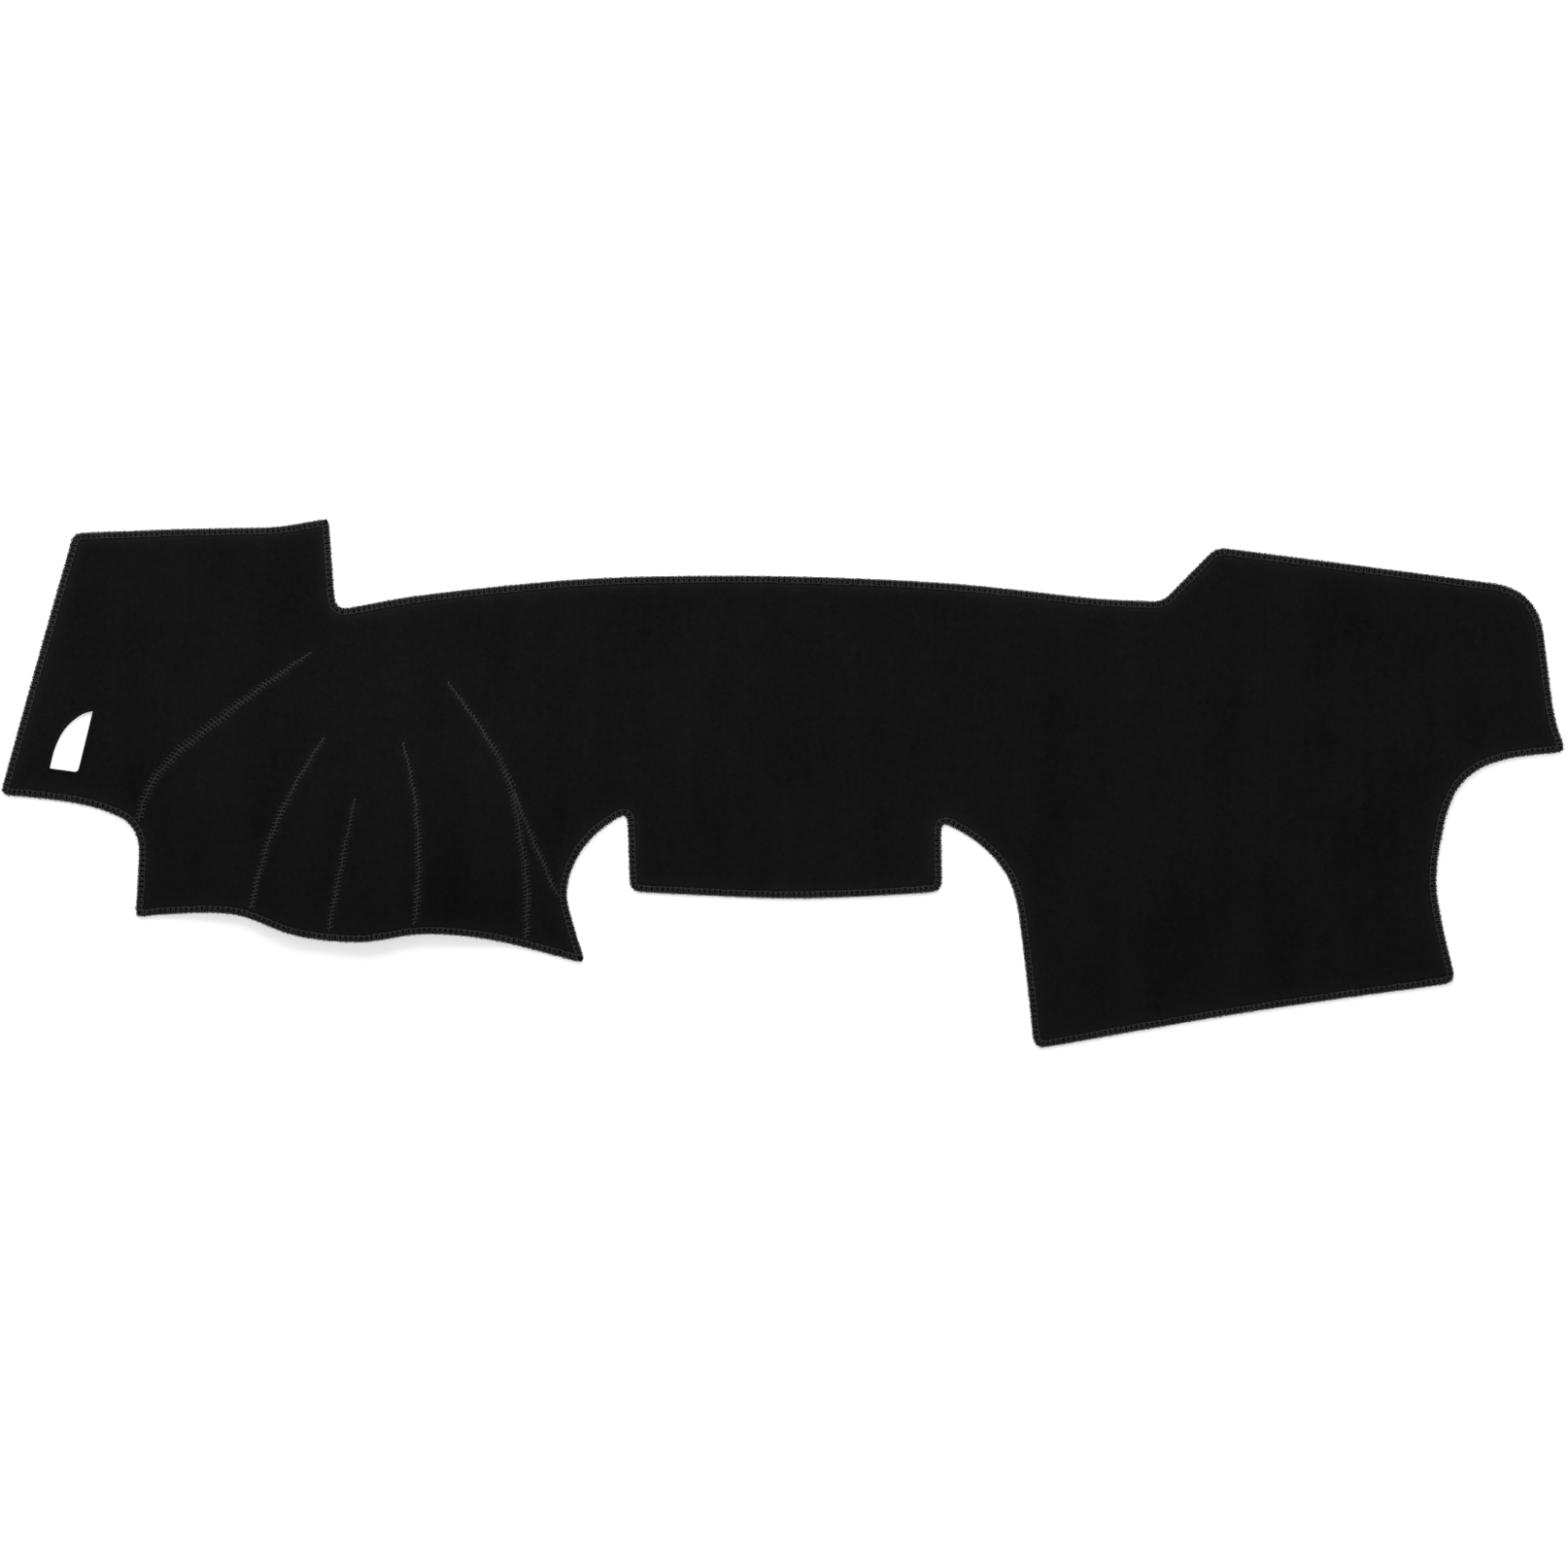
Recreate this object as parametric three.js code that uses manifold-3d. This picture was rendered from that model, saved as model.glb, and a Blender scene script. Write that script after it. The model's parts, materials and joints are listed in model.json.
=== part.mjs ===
// Dashboard cover mat: one cut sheet of short-pile velour cloth that covers the top of a car's dashboard.
// Its rim is oversewn all round with thread. Sewn darts shape its left part into a shallow dome that fits
// over the instrument binnacle.
// Millimetres, +Z up. The mat lies face up on a flat surface, as it comes to rest. +X runs across the car
// to the right, +Y points to the windscreen, and the origin is under the middle of the outline.
import * as THREE from "three";
import { mergeVertices } from "three/addons/utils/BufferGeometryUtils.js";
import Module from "manifold-3d";

const wasm = await Module();
wasm.setup();

// Overall size of the flat mat. The rounding takes a little off the corners that reach furthest out.
const matWidth = 1449;
const matDepth = 490.6;
const roundedOff = 2;

const leftX = -matWidth / 2 - roundedOff;
const rightX = matWidth / 2 + roundedOff;
const backY = matDepth / 2 + 0.25 * roundedOff;
const frontY = -matDepth / 2 - roundedOff;

// Cloth.
const clothThickness = 3;
const nippedThickness = 1.4;

// Oversewn rim: a layer of thread over, round and under the cloth's cut edge.
const rimWidth = 7.7;
const threadLayer = 0.7;
const threadBevel = 0.6;
const clearance = 0.3;

// Left end.
const leftEndY = -11;
const leftEndSlant = 68;

// Binnacle flap, on the driver's side.
const flapFromLeft = 128;
const flapWidth = 415.5;
const flapShoulderY = -125;
const flapFrontY = -168;
const flapWaist = 17.5;
const flapLeftX = leftX + flapFromLeft;
const flapRightX = flapLeftX + flapWidth;

// Passenger flap and right end.
const passengerFromRight = 101.5;
const passengerWidth = 392;
const passengerRightY = -185.5;
const passengerHollow = 3;
const rightEndY = 29;
const rightEndHeight = 151;
const passengerRightX = rightX - passengerFromRight;
const passengerLeftX = passengerRightX - passengerWidth;

// Tongue over the middle of the dashboard, with a deep notch between it and each flap.
const leftNotchWidth = 41;
const rightNotchWidth = 85.5;
const tongueY = -101;
const tongueBow = 6.4;
const leftNotchY = -27.5;
const rightNotchY = -36;
const tongueLeftX = flapRightX + leftNotchWidth;
const tongueRightX = passengerLeftX - rightNotchWidth;
const tongueWidth = tongueRightX - tongueLeftX;

// Windscreen edge: a long low bow between two ears.
const screenBowY = 192.4;
const leftEarFromLeft = 305;
const leftEarLean = 6.5;
const leftEarFootY = 160.5;
const leftEarHollow = 10.3;
const rightEarFromRight = 324.5;
const rightEarLean = 50;
const rightEarY = 219;
const rightEarFootY = 168.5;
const leftEarX = leftX + leftEarFromLeft;
const leftEarFootX = leftEarX + leftEarLean;
const rightEarX = rightX - rightEarFromRight;
const rightEarFootX = rightEarX - rightEarLean;
const screenWidth = rightEarFootX - leftEarFootX;

// Corners, as the cloth was cut.
const cornerRadius = 11;
const tipRadius = 6;
const notchRadius = 5;
const softRadius = 20;
const screenCornerRadius = 56;

// Cut-out in the left end, with a raw edge.
const holeFromLeft = 83.5;
const holeAboveEnd = 76;
const holeWidth = 28;
const holeDepth = 54;
const holeLean = 13;
const holeCornerRadius = 4;
const holeX = leftX + holeFromLeft;
const holeY = leftEndY + holeAboveEnd;

// Dome over the binnacle, over the middle of its flap.
const domeAboveShoulder = 94;
const domeHalfWidth = 230;
const domeHalfDepth = 203;
const domeHeight = 30;
const domeX = (flapLeftX + flapRightX) / 2;
const domeY = flapShoulderY + domeAboveShoulder;

// Darts: the seam lies in a groove, at the bottom of a soft crease that fades out towards the dart's tip.
const seamWidth = 4.4;
const seamThickness = 1.1;
const seamGrooveDepth = 1.1;
const grooveFlare = 1.1;
const creaseDepth = 3.2;
const creaseSpread = 17;
const creaseFade = 45;
const creaseShare = 0.45;

// Fineness of the facets.
const domeStep = 17;
const domeEdgeStep = 14;
const bendStep = 28;
const seamStep = 11;
const holeStep = 5;
const fineStep = 2;

// Points nearer to each other than this are one point.
const weld = 1e-3;

// Heights of the layers in the flat mat, from the surface that it lies on.
const nippedBottom = threadLayer + clearance;
const nippedTop = nippedBottom + nippedThickness;
const rimTop = nippedTop + clearance + threadLayer;

// Plan of the cut cloth, once round with the cloth on the left hand, from the left end's back corner.
// Each corner has its radius, and the points of "via" bend the edge that runs from it to the next one.
const plan = [
  { corner: [leftX + leftEndSlant, backY - 13.8], radius: cornerRadius, via: [] },
  {
    corner: [leftX, leftEndY],
    radius: tipRadius,
    via: [
      [flapLeftX - 96, leftEndY - 3],
      [flapLeftX - 56, leftEndY - 8.5],
      [flapLeftX - 26, leftEndY - 17],
      [flapLeftX - 8, leftEndY - 27.5],
      [flapLeftX, leftEndY - 44],
      [flapLeftX, (leftEndY + flapShoulderY) / 2 - 14],
    ],
    step: domeEdgeStep,
  },
  {
    corner: [flapLeftX - 2.5, flapShoulderY],
    radius: tipRadius,
    via: [
      [flapLeftX + 30, flapShoulderY + 3],
      [flapLeftX + 90, flapShoulderY + 2.5],
      [flapLeftX + 147, flapFrontY + 26],
      [flapLeftX + 206, flapFrontY + 20],
      [flapLeftX + 265, flapFrontY + 27.5],
      [flapLeftX + 325, flapFrontY + 22.5],
    ],
    step: domeEdgeStep,
  },
  {
    corner: [flapRightX, flapFrontY],
    radius: notchRadius,
    via: [
      [flapRightX - 0.6 * flapWaist, flapFrontY + 34],
      [flapRightX - flapWaist, flapFrontY + 66],
      [flapRightX - 0.55 * flapWaist, flapFrontY + 95],
      [flapRightX + 0.55 * flapWaist, flapFrontY + 120.5],
    ],
    step: domeEdgeStep,
  },
  { corner: [tongueLeftX - 3, leftNotchY], radius: notchRadius, via: [] },
  {
    corner: [tongueLeftX, tongueY],
    radius: cornerRadius,
    via: [
      [tongueLeftX + 0.23 * tongueWidth, tongueY - 0.54 * tongueBow],
      [tongueLeftX + 0.5 * tongueWidth, tongueY - tongueBow],
      [tongueLeftX + 0.77 * tongueWidth, tongueY - 0.67 * tongueBow],
    ],
    step: 2 * bendStep,
  },
  { corner: [tongueRightX, tongueY], radius: cornerRadius, via: [] },
  {
    corner: [tongueRightX - 0.5, rightNotchY],
    radius: notchRadius,
    via: [
      [tongueRightX + 28, rightNotchY - 16],
      [tongueRightX + 51, rightNotchY - 37],
      [tongueRightX + 66, rightNotchY - 62.5],
      [tongueRightX + 71.5, rightNotchY - 90.5],
      [tongueRightX + 79, rightNotchY - 150],
    ],
    step: bendStep,
  },
  {
    corner: [passengerLeftX, frontY],
    radius: cornerRadius,
    via: [[(passengerLeftX + passengerRightX) / 2, (frontY + passengerRightY) / 2 + passengerHollow]],
    step: 4 * bendStep,
  },
  {
    corner: [passengerRightX, passengerRightY],
    radius: cornerRadius,
    via: [
      [passengerRightX - 8, passengerRightY + 31],
      [passengerRightX - 18.5, passengerRightY + 89],
      [passengerRightX - 16.5, passengerRightY + 119],
      [passengerRightX - 3, passengerRightY + 173],
      [passengerRightX + 15.5, passengerRightY + 194.5],
      [passengerRightX + 43.5, passengerRightY + 206.5],
    ],
    step: bendStep,
  },
  {
    corner: [rightX, rightEndY],
    radius: tipRadius,
    via: [
      [rightX - 9.5, rightEndY + 29],
      [rightX - 18, rightEndY + 87],
    ],
    step: bendStep,
  },
  {
    corner: [rightX - 25.5, rightEndY + rightEndHeight],
    radius: screenCornerRadius,
    via: [],
  },
  { corner: [rightEarX, rightEarY], radius: softRadius, via: [] },
  {
    corner: [rightEarFootX, rightEarFootY],
    radius: softRadius,
    via: [
      [leftEarFootX + 0.932 * screenWidth, rightEarFootY + 2],
      [leftEarFootX + 0.757 * screenWidth, rightEarFootY + 16],
      [leftEarFootX + 0.593 * screenWidth, screenBowY - 1.4],
      [leftEarFootX + 0.441 * screenWidth, screenBowY],
      [leftEarFootX + 0.3 * screenWidth, screenBowY - 3],
      [leftEarFootX + 0.162 * screenWidth, screenBowY - 12.7],
      [leftEarFootX + 0.082 * screenWidth, leftEarFootY + 11.5],
    ],
    step: 2 * bendStep,
  },
  { corner: [leftEarFootX, leftEarFootY], radius: cornerRadius, via: [] },
  {
    corner: [leftEarX, backY],
    radius: 0.5 * notchRadius,
    via: [[leftEarX - 28, backY - 0.6 * leftEarHollow], [leftEarX - 147, backY - leftEarHollow]],
    step: 2 * bendStep,
  },
];

// Dart seams, measured from the middle of the dome, each from its tip to a point beyond the rim, which
// it never reaches. The last one branches off the seam before it.
const dartPlans = [
  [[-47, 152], [-94, 119], [-140, 84], [-180, 50], [-199, 23], [-209, -11]],
  [[-34, 73], [-61, 29], [-84, -20], [-98, -66], [-109, -114]],
  [[-5, 16], [-13, -20], [-22, -64], [-36, -134]],
  [[39, 68], [47, 34], [52, -2], [53, -58], [46, -134]],
  [[80, 124], [109, 84], [130, 49], [141, 18], [148, -25], [153, -61], [151, -144]],
  [[140, 27], [154, -10], [168, -43], [181, -72], [201, -109]],
];

const vector = ([x, y]) => new THREE.Vector2(x, y);

// Points at an even spacing along a smooth curve through the given points.
function smoothLine(points, spacing) {
  const through = points.map((p) => new THREE.Vector3(p.x, p.y, 0));
  const curve = new THREE.CatmullRomCurve3(through, false, "centripetal");
  const steps = Math.max(2, Math.ceil(curve.getLength() / spacing));
  return curve.getSpacedPoints(steps).map((p) => new THREE.Vector2(p.x, p.y));
}

// Unit tangent of a line of points at one of them.
function tangentAt(line, i) {
  const before = line[Math.max(i - 1, 0)];
  const after = line[Math.min(i + 1, line.length - 1)];
  return after.clone().sub(before).normalize();
}

// A line moved to its left hand by a distance, and lengthened straight on at both ends.
function movedLeft(line, distance, lengthening) {
  const moved = line.map((p, i) => {
    const t = tangentAt(line, i);
    return new THREE.Vector2(p.x - distance * t.y, p.y + distance * t.x);
  });
  const start = moved[0].clone().addScaledVector(tangentAt(line, 0), -lengthening);
  const end = moved.at(-1).clone().addScaledVector(tangentAt(line, line.length - 1), lengthening);
  return [start, ...moved, end];
}

// A line of points without those that lie on the one before.
function withoutRepeats(line) {
  return line.filter((p, i) => i === 0 || p.distanceTo(line[i - 1]) > 1e-3 * weld);
}

// How far along the line a-b it is crossed by the line c-d, or null where they don't cross.
function crossing(a, b, c, d) {
  const along = b.clone().sub(a);
  const across = d.clone().sub(c);
  const between = c.clone().sub(a);
  const turn = along.cross(across);
  const u = between.cross(across) / turn;
  const v = between.cross(along) / turn;
  return u >= 0 && u <= 1 && v >= 0 && v <= 1 ? u : null;
}

// Where two lines of points meet nearest to a corner: the segment of each, and the point.
function meeting(first, second, corner) {
  let best = null;
  for (let i = 0; i + 1 < first.length; i++) {
    for (let k = 0; k + 1 < second.length; k++) {
      const u = crossing(first[i], first[i + 1], second[k], second[k + 1]);
      if (u === null) continue;
      const point = first[i].clone().lerp(first[i + 1], u);
      const distance = point.distanceTo(corner);
      if (!best || distance < best.distance) best = { i, k, point, distance };
    }
  }
  return best;
}

// Length along a line of points up to each of them.
function lengthsAlong(line) {
  const lengths = [0];
  for (let i = 1; i < line.length; i++) lengths.push(lengths[i - 1] + line[i].distanceTo(line[i - 1]));
  return lengths;
}

// The point at a length along a line of points.
function pointAlong(line, lengths, length) {
  let i = 1;
  while (i < line.length - 1 && lengths[i] < length) i++;
  const share = (length - lengths[i - 1]) / (lengths[i] - lengths[i - 1]);
  return line[i - 1].clone().lerp(line[i], Math.min(Math.max(share, 0), 1));
}

// The plan's edges as fine lines, and the number of facets that each edge and each corner gets.
const edges = plan.map(({ corner, via, step, radius }, i) => {
  const next = plan[(i + 1) % plan.length].corner;
  const line = smoothLine([corner, ...via, next].map(vector), fineStep);
  const facets = step ? Math.ceil(lengthsAlong(line).at(-1) / step) : 1;
  return { line, facets, radius, cornerFacets: Math.max(2, Math.round(Math.sqrt(radius))) };
});

// The plan's outline, drawn in by a distance and with its corners rounded to match. Every such loop has
// the same number of points in the same order, so that loops at different distances can be joined up.
const loops = new Map();
function loopAt(inset) {
  if (loops.has(inset)) return loops.get(inset);
  const sharpest = 0.4;
  const bendShare = 0.45;
  const lengthening = 4 * inset + 1;
  const moved = edges.map(({ line }) => movedLeft(line, inset, lengthening));
  const meetings = edges.map(({ line }, i) => {
    const before = moved[(i + edges.length - 1) % edges.length];
    return meeting(before, moved[i], line[0]);
  });
  const trimmed = edges.map((edge, i) => {
    const start = meetings[i];
    const end = meetings[(i + 1) % edges.length];
    const line = withoutRepeats([start.point, ...moved[i].slice(start.k + 1, end.i + 1), end.point]);
    return { line, lengths: lengthsAlong(line) };
  });
  const bends = edges.map(({ radius }, i) => {
    const before = trimmed[(i + edges.length - 1) % edges.length];
    const into = tangentAt(before.line, before.line.length - 1);
    const out = tangentAt(trimmed[i].line, 0);
    const turn = Math.atan2(into.cross(out), into.dot(out));
    const drawn = turn > 0 ? Math.max(radius - inset, sharpest) : radius + inset;
    const room = bendShare * Math.min(before.lengths.at(-1), trimmed[i].lengths.at(-1));
    return Math.min(drawn * Math.tan(Math.abs(turn) / 2), room);
  });
  const loop = [];
  edges.forEach(({ facets, cornerFacets }, i) => {
    const before = trimmed[(i + edges.length - 1) % edges.length];
    const { line, lengths } = trimmed[i];
    const cutStart = bends[i];
    const cutEnd = bends[(i + 1) % edges.length];
    const round = new THREE.QuadraticBezierCurve(
      pointAlong(before.line, before.lengths, before.lengths.at(-1) - cutStart),
      line[0],
      pointAlong(line, lengths, cutStart),
    );
    loop.push(...round.getPoints(cornerFacets));
    for (let k = 1; k < facets; k++) {
      const share = k / facets;
      loop.push(pointAlong(line, lengths, cutStart + share * (lengths.at(-1) - cutStart - cutEnd)));
    }
  });
  loops.set(inset, loop);
  return loop;
}

// The nearest place to a point on a line: the distance, and the length along the line up to there.
function nearest(line, lengths, point, closed) {
  let best = { distance: Infinity, length: 0 };
  const count = closed ? line.length : line.length - 1;
  for (let i = 0; i < count; i++) {
    const a = line[i];
    const b = line[(i + 1) % line.length];
    const side = b.clone().sub(a);
    const share = Math.min(Math.max(point.clone().sub(a).dot(side) / side.lengthSq(), 0), 1);
    const distance = point.distanceTo(a.clone().addScaledVector(side, share));
    if (distance < best.distance) best = { distance, length: lengths[i] + share * side.length() };
  }
  return best;
}

// A dart's seam line: it starts clear of the seam that it branches off, and stops short of the rim thread.
function seamLine(points, trunk) {
  const rim = loopAt(0);
  const rimLengths = lengthsAlong(rim);
  const trunkLengths = trunk && lengthsAlong(trunk);
  const line = smoothLine(points.map(([x, y]) => vector([domeX + x, domeY + y])), fineStep);
  const clearOfRim = line.findIndex((p, i) => {
    const t = tangentAt(line, i);
    return [-1, 0, 1].some((side) => {
      const reach = (side * seamWidth) / 2;
      const edgePoint = new THREE.Vector2(p.x - reach * t.y, p.y + reach * t.x);
      return nearest(rim, rimLengths, edgePoint, true).distance < rimWidth + 2 * clearance;
    });
  });
  const inside = line.slice(0, clearOfRim < 0 ? line.length : clearOfRim);
  if (!trunk) return inside;
  const apart = seamWidth + 2 * clearance;
  const branch = inside.findIndex((p) => nearest(trunk, trunkLengths, p, false).distance > apart);
  return inside.slice(branch);
}

const seams = [];
dartPlans.forEach((points, i) => {
  seams.push(seamLine(points, i === dartPlans.length - 1 ? seams[i - 1] : null));
});
const seamLengths = seams.map(lengthsAlong);

// Height of the cloth's underside: the dome over the binnacle, less the creases along the dart seams.
const heights = new Map();
function lift(x, y) {
  const out = ((x - domeX) / domeHalfWidth) ** 2 + ((y - domeY) / domeHalfDepth) ** 2;
  if (out >= 1) return 0;
  const key = x.toFixed(4) + "," + y.toFixed(4);
  if (heights.has(key)) return heights.get(key);
  const dome = domeHeight * (1 - out) ** 2;
  const point = new THREE.Vector2(x, y);
  let crease = 0;
  seams.forEach((seam, i) => {
    const { distance, length } = nearest(seam, seamLengths[i], point, false);
    const deep = THREE.MathUtils.smoothstep(length, 0, creaseFade);
    crease = Math.max(crease, deep * Math.exp(-0.5 * (distance / creaseSpread) ** 2));
  });
  const height = dome - Math.min(creaseDepth, creaseShare * dome) * crease;
  heights.set(key, height);
  return height;
}

// A closed geometry from vertices and faces, with shared vertices merged and collapsed faces left out.
function closedGeometry(positions, faces) {
  const loose = new THREE.BufferGeometry();
  loose.setAttribute("position", new THREE.Float32BufferAttribute(positions, 3));
  loose.setIndex(faces);
  const merged = mergeVertices(loose, weld);
  const kept = [];
  const index = merged.index.array;
  for (let i = 0; i < index.length; i += 3) {
    const [a, b, c] = index.slice(i, i + 3);
    if (a !== b && b !== c && c !== a) kept.push(a, b, c);
  }
  merged.setIndex(kept);
  return merged;
}

// Faces that join rows of vertices, each row with the same count, into a skin. Rows and columns may close.
function skinFaces(rows, columns, rowsClose, columnsClose) {
  const faces = [];
  for (let r = 0; r < (rowsClose ? rows : rows - 1); r++) {
    for (let c = 0; c < (columnsClose ? columns : columns - 1); c++) {
      const a = r * columns + c;
      const b = r * columns + ((c + 1) % columns);
      const d = ((r + 1) % rows) * columns + c;
      const e = ((r + 1) % rows) * columns + ((c + 1) % columns);
      faces.push(a, b, e, a, e, d);
    }
  }
  return faces;
}

// A profile taken once round the mat's rim. Its points are distances in from the rim and heights, listed
// with the inside of the profile on the left hand when the distance runs to the right and height runs up.
function rimRing(profile) {
  const positions = [];
  profile.forEach(([inset, z]) => {
    loopAt(inset).forEach((p) => positions.push(p.x, p.y, z + lift(p.x, p.y)));
  });
  return closedGeometry(positions, skinFaces(profile.length, loopAt(0).length, true, true).reverse());
}

// A profile taken along a seam. Its points are distances across the seam and heights, in the same order
// as a rim profile's, and the ends are closed.
function seamBar(line, profile) {
  const positions = [];
  line.forEach((p, i) => {
    const t = tangentAt(line, i);
    profile.forEach(([across, z]) => {
      const x = p.x + across * t.y;
      const y = p.y - across * t.x;
      positions.push(x, y, z + lift(x, y));
    });
  });
  const faces = skinFaces(line.length, profile.length, false, true);
  const last = (line.length - 1) * profile.length;
  for (let i = 1; i + 1 < profile.length; i++) {
    faces.push(0, i + 1, i);
    faces.push(last, last + i, last + i + 1);
  }
  return closedGeometry(positions, faces.reverse());
}

// Places from low to high with a fine spacing inside the dome's reach and none outside it.
function gridPlaces(low, high, centre, reach) {
  const from = Math.max(low, centre - reach);
  const to = Math.min(high, centre + reach);
  const count = Math.ceil((to - from) / domeStep);
  const fine = Array.from({ length: count + 1 }, (_, i) => from + ((to - from) * i) / count);
  return [...new Set([low, ...fine, high])];
}

// A slab of cloth over the whole outline's box, lifted over the dome.
function clothSlab() {
  const margin = 20;
  const columns = gridPlaces(leftX - margin, rightX + margin, domeX, domeHalfWidth);
  const rows = gridPlaces(frontY - margin, backY + margin, domeY, domeHalfDepth);
  const sheet = (z) => rows.flatMap((y) => columns.flatMap((x) => [x, y, z + lift(x, y)]));
  const count = rows.length * columns.length;
  const top = skinFaces(rows.length, columns.length, false, false);
  const bottom = top.toReversed().map((i) => i + count);
  const width = columns.length;
  const across = columns.map((_, i) => i);
  const up = rows.map((_, i) => i * width);
  const border = [
    ...across,
    ...up.slice(1).map((i) => i + width - 1),
    ...across.toReversed().slice(1).map((i) => i + (rows.length - 1) * width),
    ...up.toReversed().slice(1, -1),
  ];
  const walls = border.flatMap((a, i) => {
    const b = border[(i + 1) % border.length];
    return [a, b + count, b, a, a + count, b + count];
  });
  return closedGeometry([...sheet(clothThickness), ...sheet(0)], [...top, ...bottom, ...walls]);
}

// An upright prism over a closed line, well past both faces of the cloth.
function prism(loop) {
  const wellPast = 20;
  const below = -wellPast;
  const above = clothThickness + domeHeight + wellPast;
  const geometry = new THREE.ExtrudeGeometry(new THREE.Shape(loop), {
    depth: above - below,
    bevelEnabled: false,
    curveSegments: 1,
  });
  geometry.translate(0, 0, below);
  return geometry;
}

// The cut-out: a leaf shape with one straight leaning side, a short foot and one curved side.
function holeOutline() {
  const tip = [holeX, holeY];
  const footRight = [holeX - holeLean, holeY - holeDepth];
  const footLeft = [footRight[0] - holeWidth + holeCornerRadius, footRight[1] + holeCornerRadius];
  const side = smoothLine(
    [
      footLeft,
      [footLeft[0] + 0.17 * holeWidth, footLeft[1] + 0.34 * holeDepth],
      [footLeft[0] + 0.5 * holeWidth, footLeft[1] + 0.66 * holeDepth],
      [holeX - 0.32 * holeWidth, holeY - 0.05 * holeDepth],
      tip,
    ].map(vector),
    holeStep,
  );
  const leaning = (share) => [holeX - holeLean * share, holeY - holeDepth * share];
  const lastShare = 1 - holeCornerRadius / holeDepth;
  const corner = new THREE.QuadraticBezierCurve(
    vector(leaning(lastShare)),
    vector(footRight),
    vector([footRight[0] - holeCornerRadius, footRight[1] + 0.3 * holeCornerRadius]),
  );
  return [...corner.getPoints(3), ...side];
}

function toSolid(geometry) {
  const bare = geometry.clone();
  bare.deleteAttribute("normal");
  bare.deleteAttribute("uv");
  const merged = mergeVertices(bare, weld);
  return new wasm.Manifold(
    new wasm.Mesh({
      numProp: 3,
      vertProperties: merged.attributes.position.array,
      triVerts: new Uint32Array(merged.index.array),
    }),
  );
}

function toGeometry(solid) {
  const { numProp, vertProperties, triVerts } = solid.getMesh();
  const positions = [];
  for (let i = 0; i < vertProperties.length; i += numProp) positions.push(...vertProperties.slice(i, i + 3));
  const geometry = new THREE.BufferGeometry();
  geometry.setAttribute("position", new THREE.Float32BufferAttribute(positions, 3));
  geometry.setIndex([...triVerts]);
  return geometry;
}

// Every few points of a seam line, with both its ends, so that a bar along it has few facets.
function coarseSeam(line) {
  const lengths = lengthsAlong(line);
  const count = Math.max(2, Math.round(lengths.at(-1) / seamStep));
  return Array.from({ length: count + 1 }, (_, i) => pointAlong(line, lengths, (lengths.at(-1) * i) / count));
}

// The groove that a seam's thread is sunk in, longer than the thread by the clearance at both ends.
function seamGroove(line) {
  const start = line[0].clone().addScaledVector(tangentAt(line, 0), -clearance);
  const end = line.at(-1).clone().addScaledVector(tangentAt(line, line.length - 1), clearance);
  const floor = clothThickness - seamGrooveDepth;
  const open = clothThickness + seamThickness;
  const half = seamWidth / 2 + clearance;
  const flare = half + (grooveFlare * (open - floor)) / seamGrooveDepth;
  return seamBar([start, ...line, end], [[-half, floor], [half, floor], [flare, open], [-flare, open]]);
}

function clothPanel() {
  const wholeInset = rimWidth + clearance;
  const nippedInset = threadLayer + clearance;
  const overlap = 2;
  const nippedRim = rimRing([
    [nippedInset, nippedBottom],
    [rimWidth, nippedBottom],
    [wholeInset + overlap, nippedBottom],
    [wholeInset + overlap, nippedTop],
    [rimWidth, nippedTop],
    [nippedInset, nippedTop],
  ]);
  let cloth = toSolid(clothSlab()).intersect(toSolid(prism(loopAt(wholeInset))));
  cloth = cloth.add(toSolid(nippedRim));
  cloth = cloth.subtract(toSolid(prism(holeOutline())));
  seams.forEach((line) => {
    cloth = cloth.subtract(toSolid(seamGroove(coarseSeam(line))));
  });
  return toGeometry(cloth);
}

// The thread over, round and under the cloth's cut edge, as one layer with a hollow for the nipped cloth.
function edgeOverlock() {
  return rimRing([
    [threadBevel, 0],
    [rimWidth, 0],
    [rimWidth, threadLayer],
    [threadLayer, threadLayer],
    [threadLayer, rimTop - threadLayer],
    [rimWidth, rimTop - threadLayer],
    [rimWidth - threadBevel, rimTop],
    [threadBevel, rimTop],
    [0, rimTop - threadBevel],
    [0, threadBevel],
  ]);
}

// The flat bed of zigzag thread that closes a dart.
function dartStitch(line) {
  const bottom = clothThickness - seamGrooveDepth + clearance;
  const top = bottom + seamThickness;
  const half = seamWidth / 2;
  const edge = bottom + 0.5 * seamThickness;
  const crown = 0.55 * half;
  return seamBar(line, [
    [-half, bottom],
    [half, bottom],
    [half, edge],
    [crown, top],
    [-crown, top],
    [-half, edge],
  ]);
}

const velour = () => new THREE.MeshStandardMaterial({ color: 0x151515, roughness: 1, metalness: 0 });
const thread = () => new THREE.MeshStandardMaterial({ color: 0x262626, roughness: 0.75, metalness: 0 });

function piece(name, geometry, material) {
  const mesh = new THREE.Mesh(geometry, material);
  mesh.name = name;
  return mesh;
}

const mat = new THREE.Group();
mat.add(piece("cloth_panel", clothPanel(), velour()));
mat.add(piece("edge_overlock", edgeOverlock(), thread()));
seams.forEach((line, i) => {
  mat.add(piece("dart_stitch_" + (i + 1), dartStitch(coarseSeam(line)), thread()));
});

export default mat;
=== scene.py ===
"""Dashboard cover mat: its cloth, its sewing threads and a plain studio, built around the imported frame.

The mat is one cut sheet of black short-pile velour that lies face up. Its rim is overlocked all round with
textured thread, and slanted stitches close the darts that shape its left part into a shallow dome.
Metres, +Z up, in the frame's own axes.
"""

import json
import logging
import math
from dataclasses import dataclass
from enum import Enum

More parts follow.
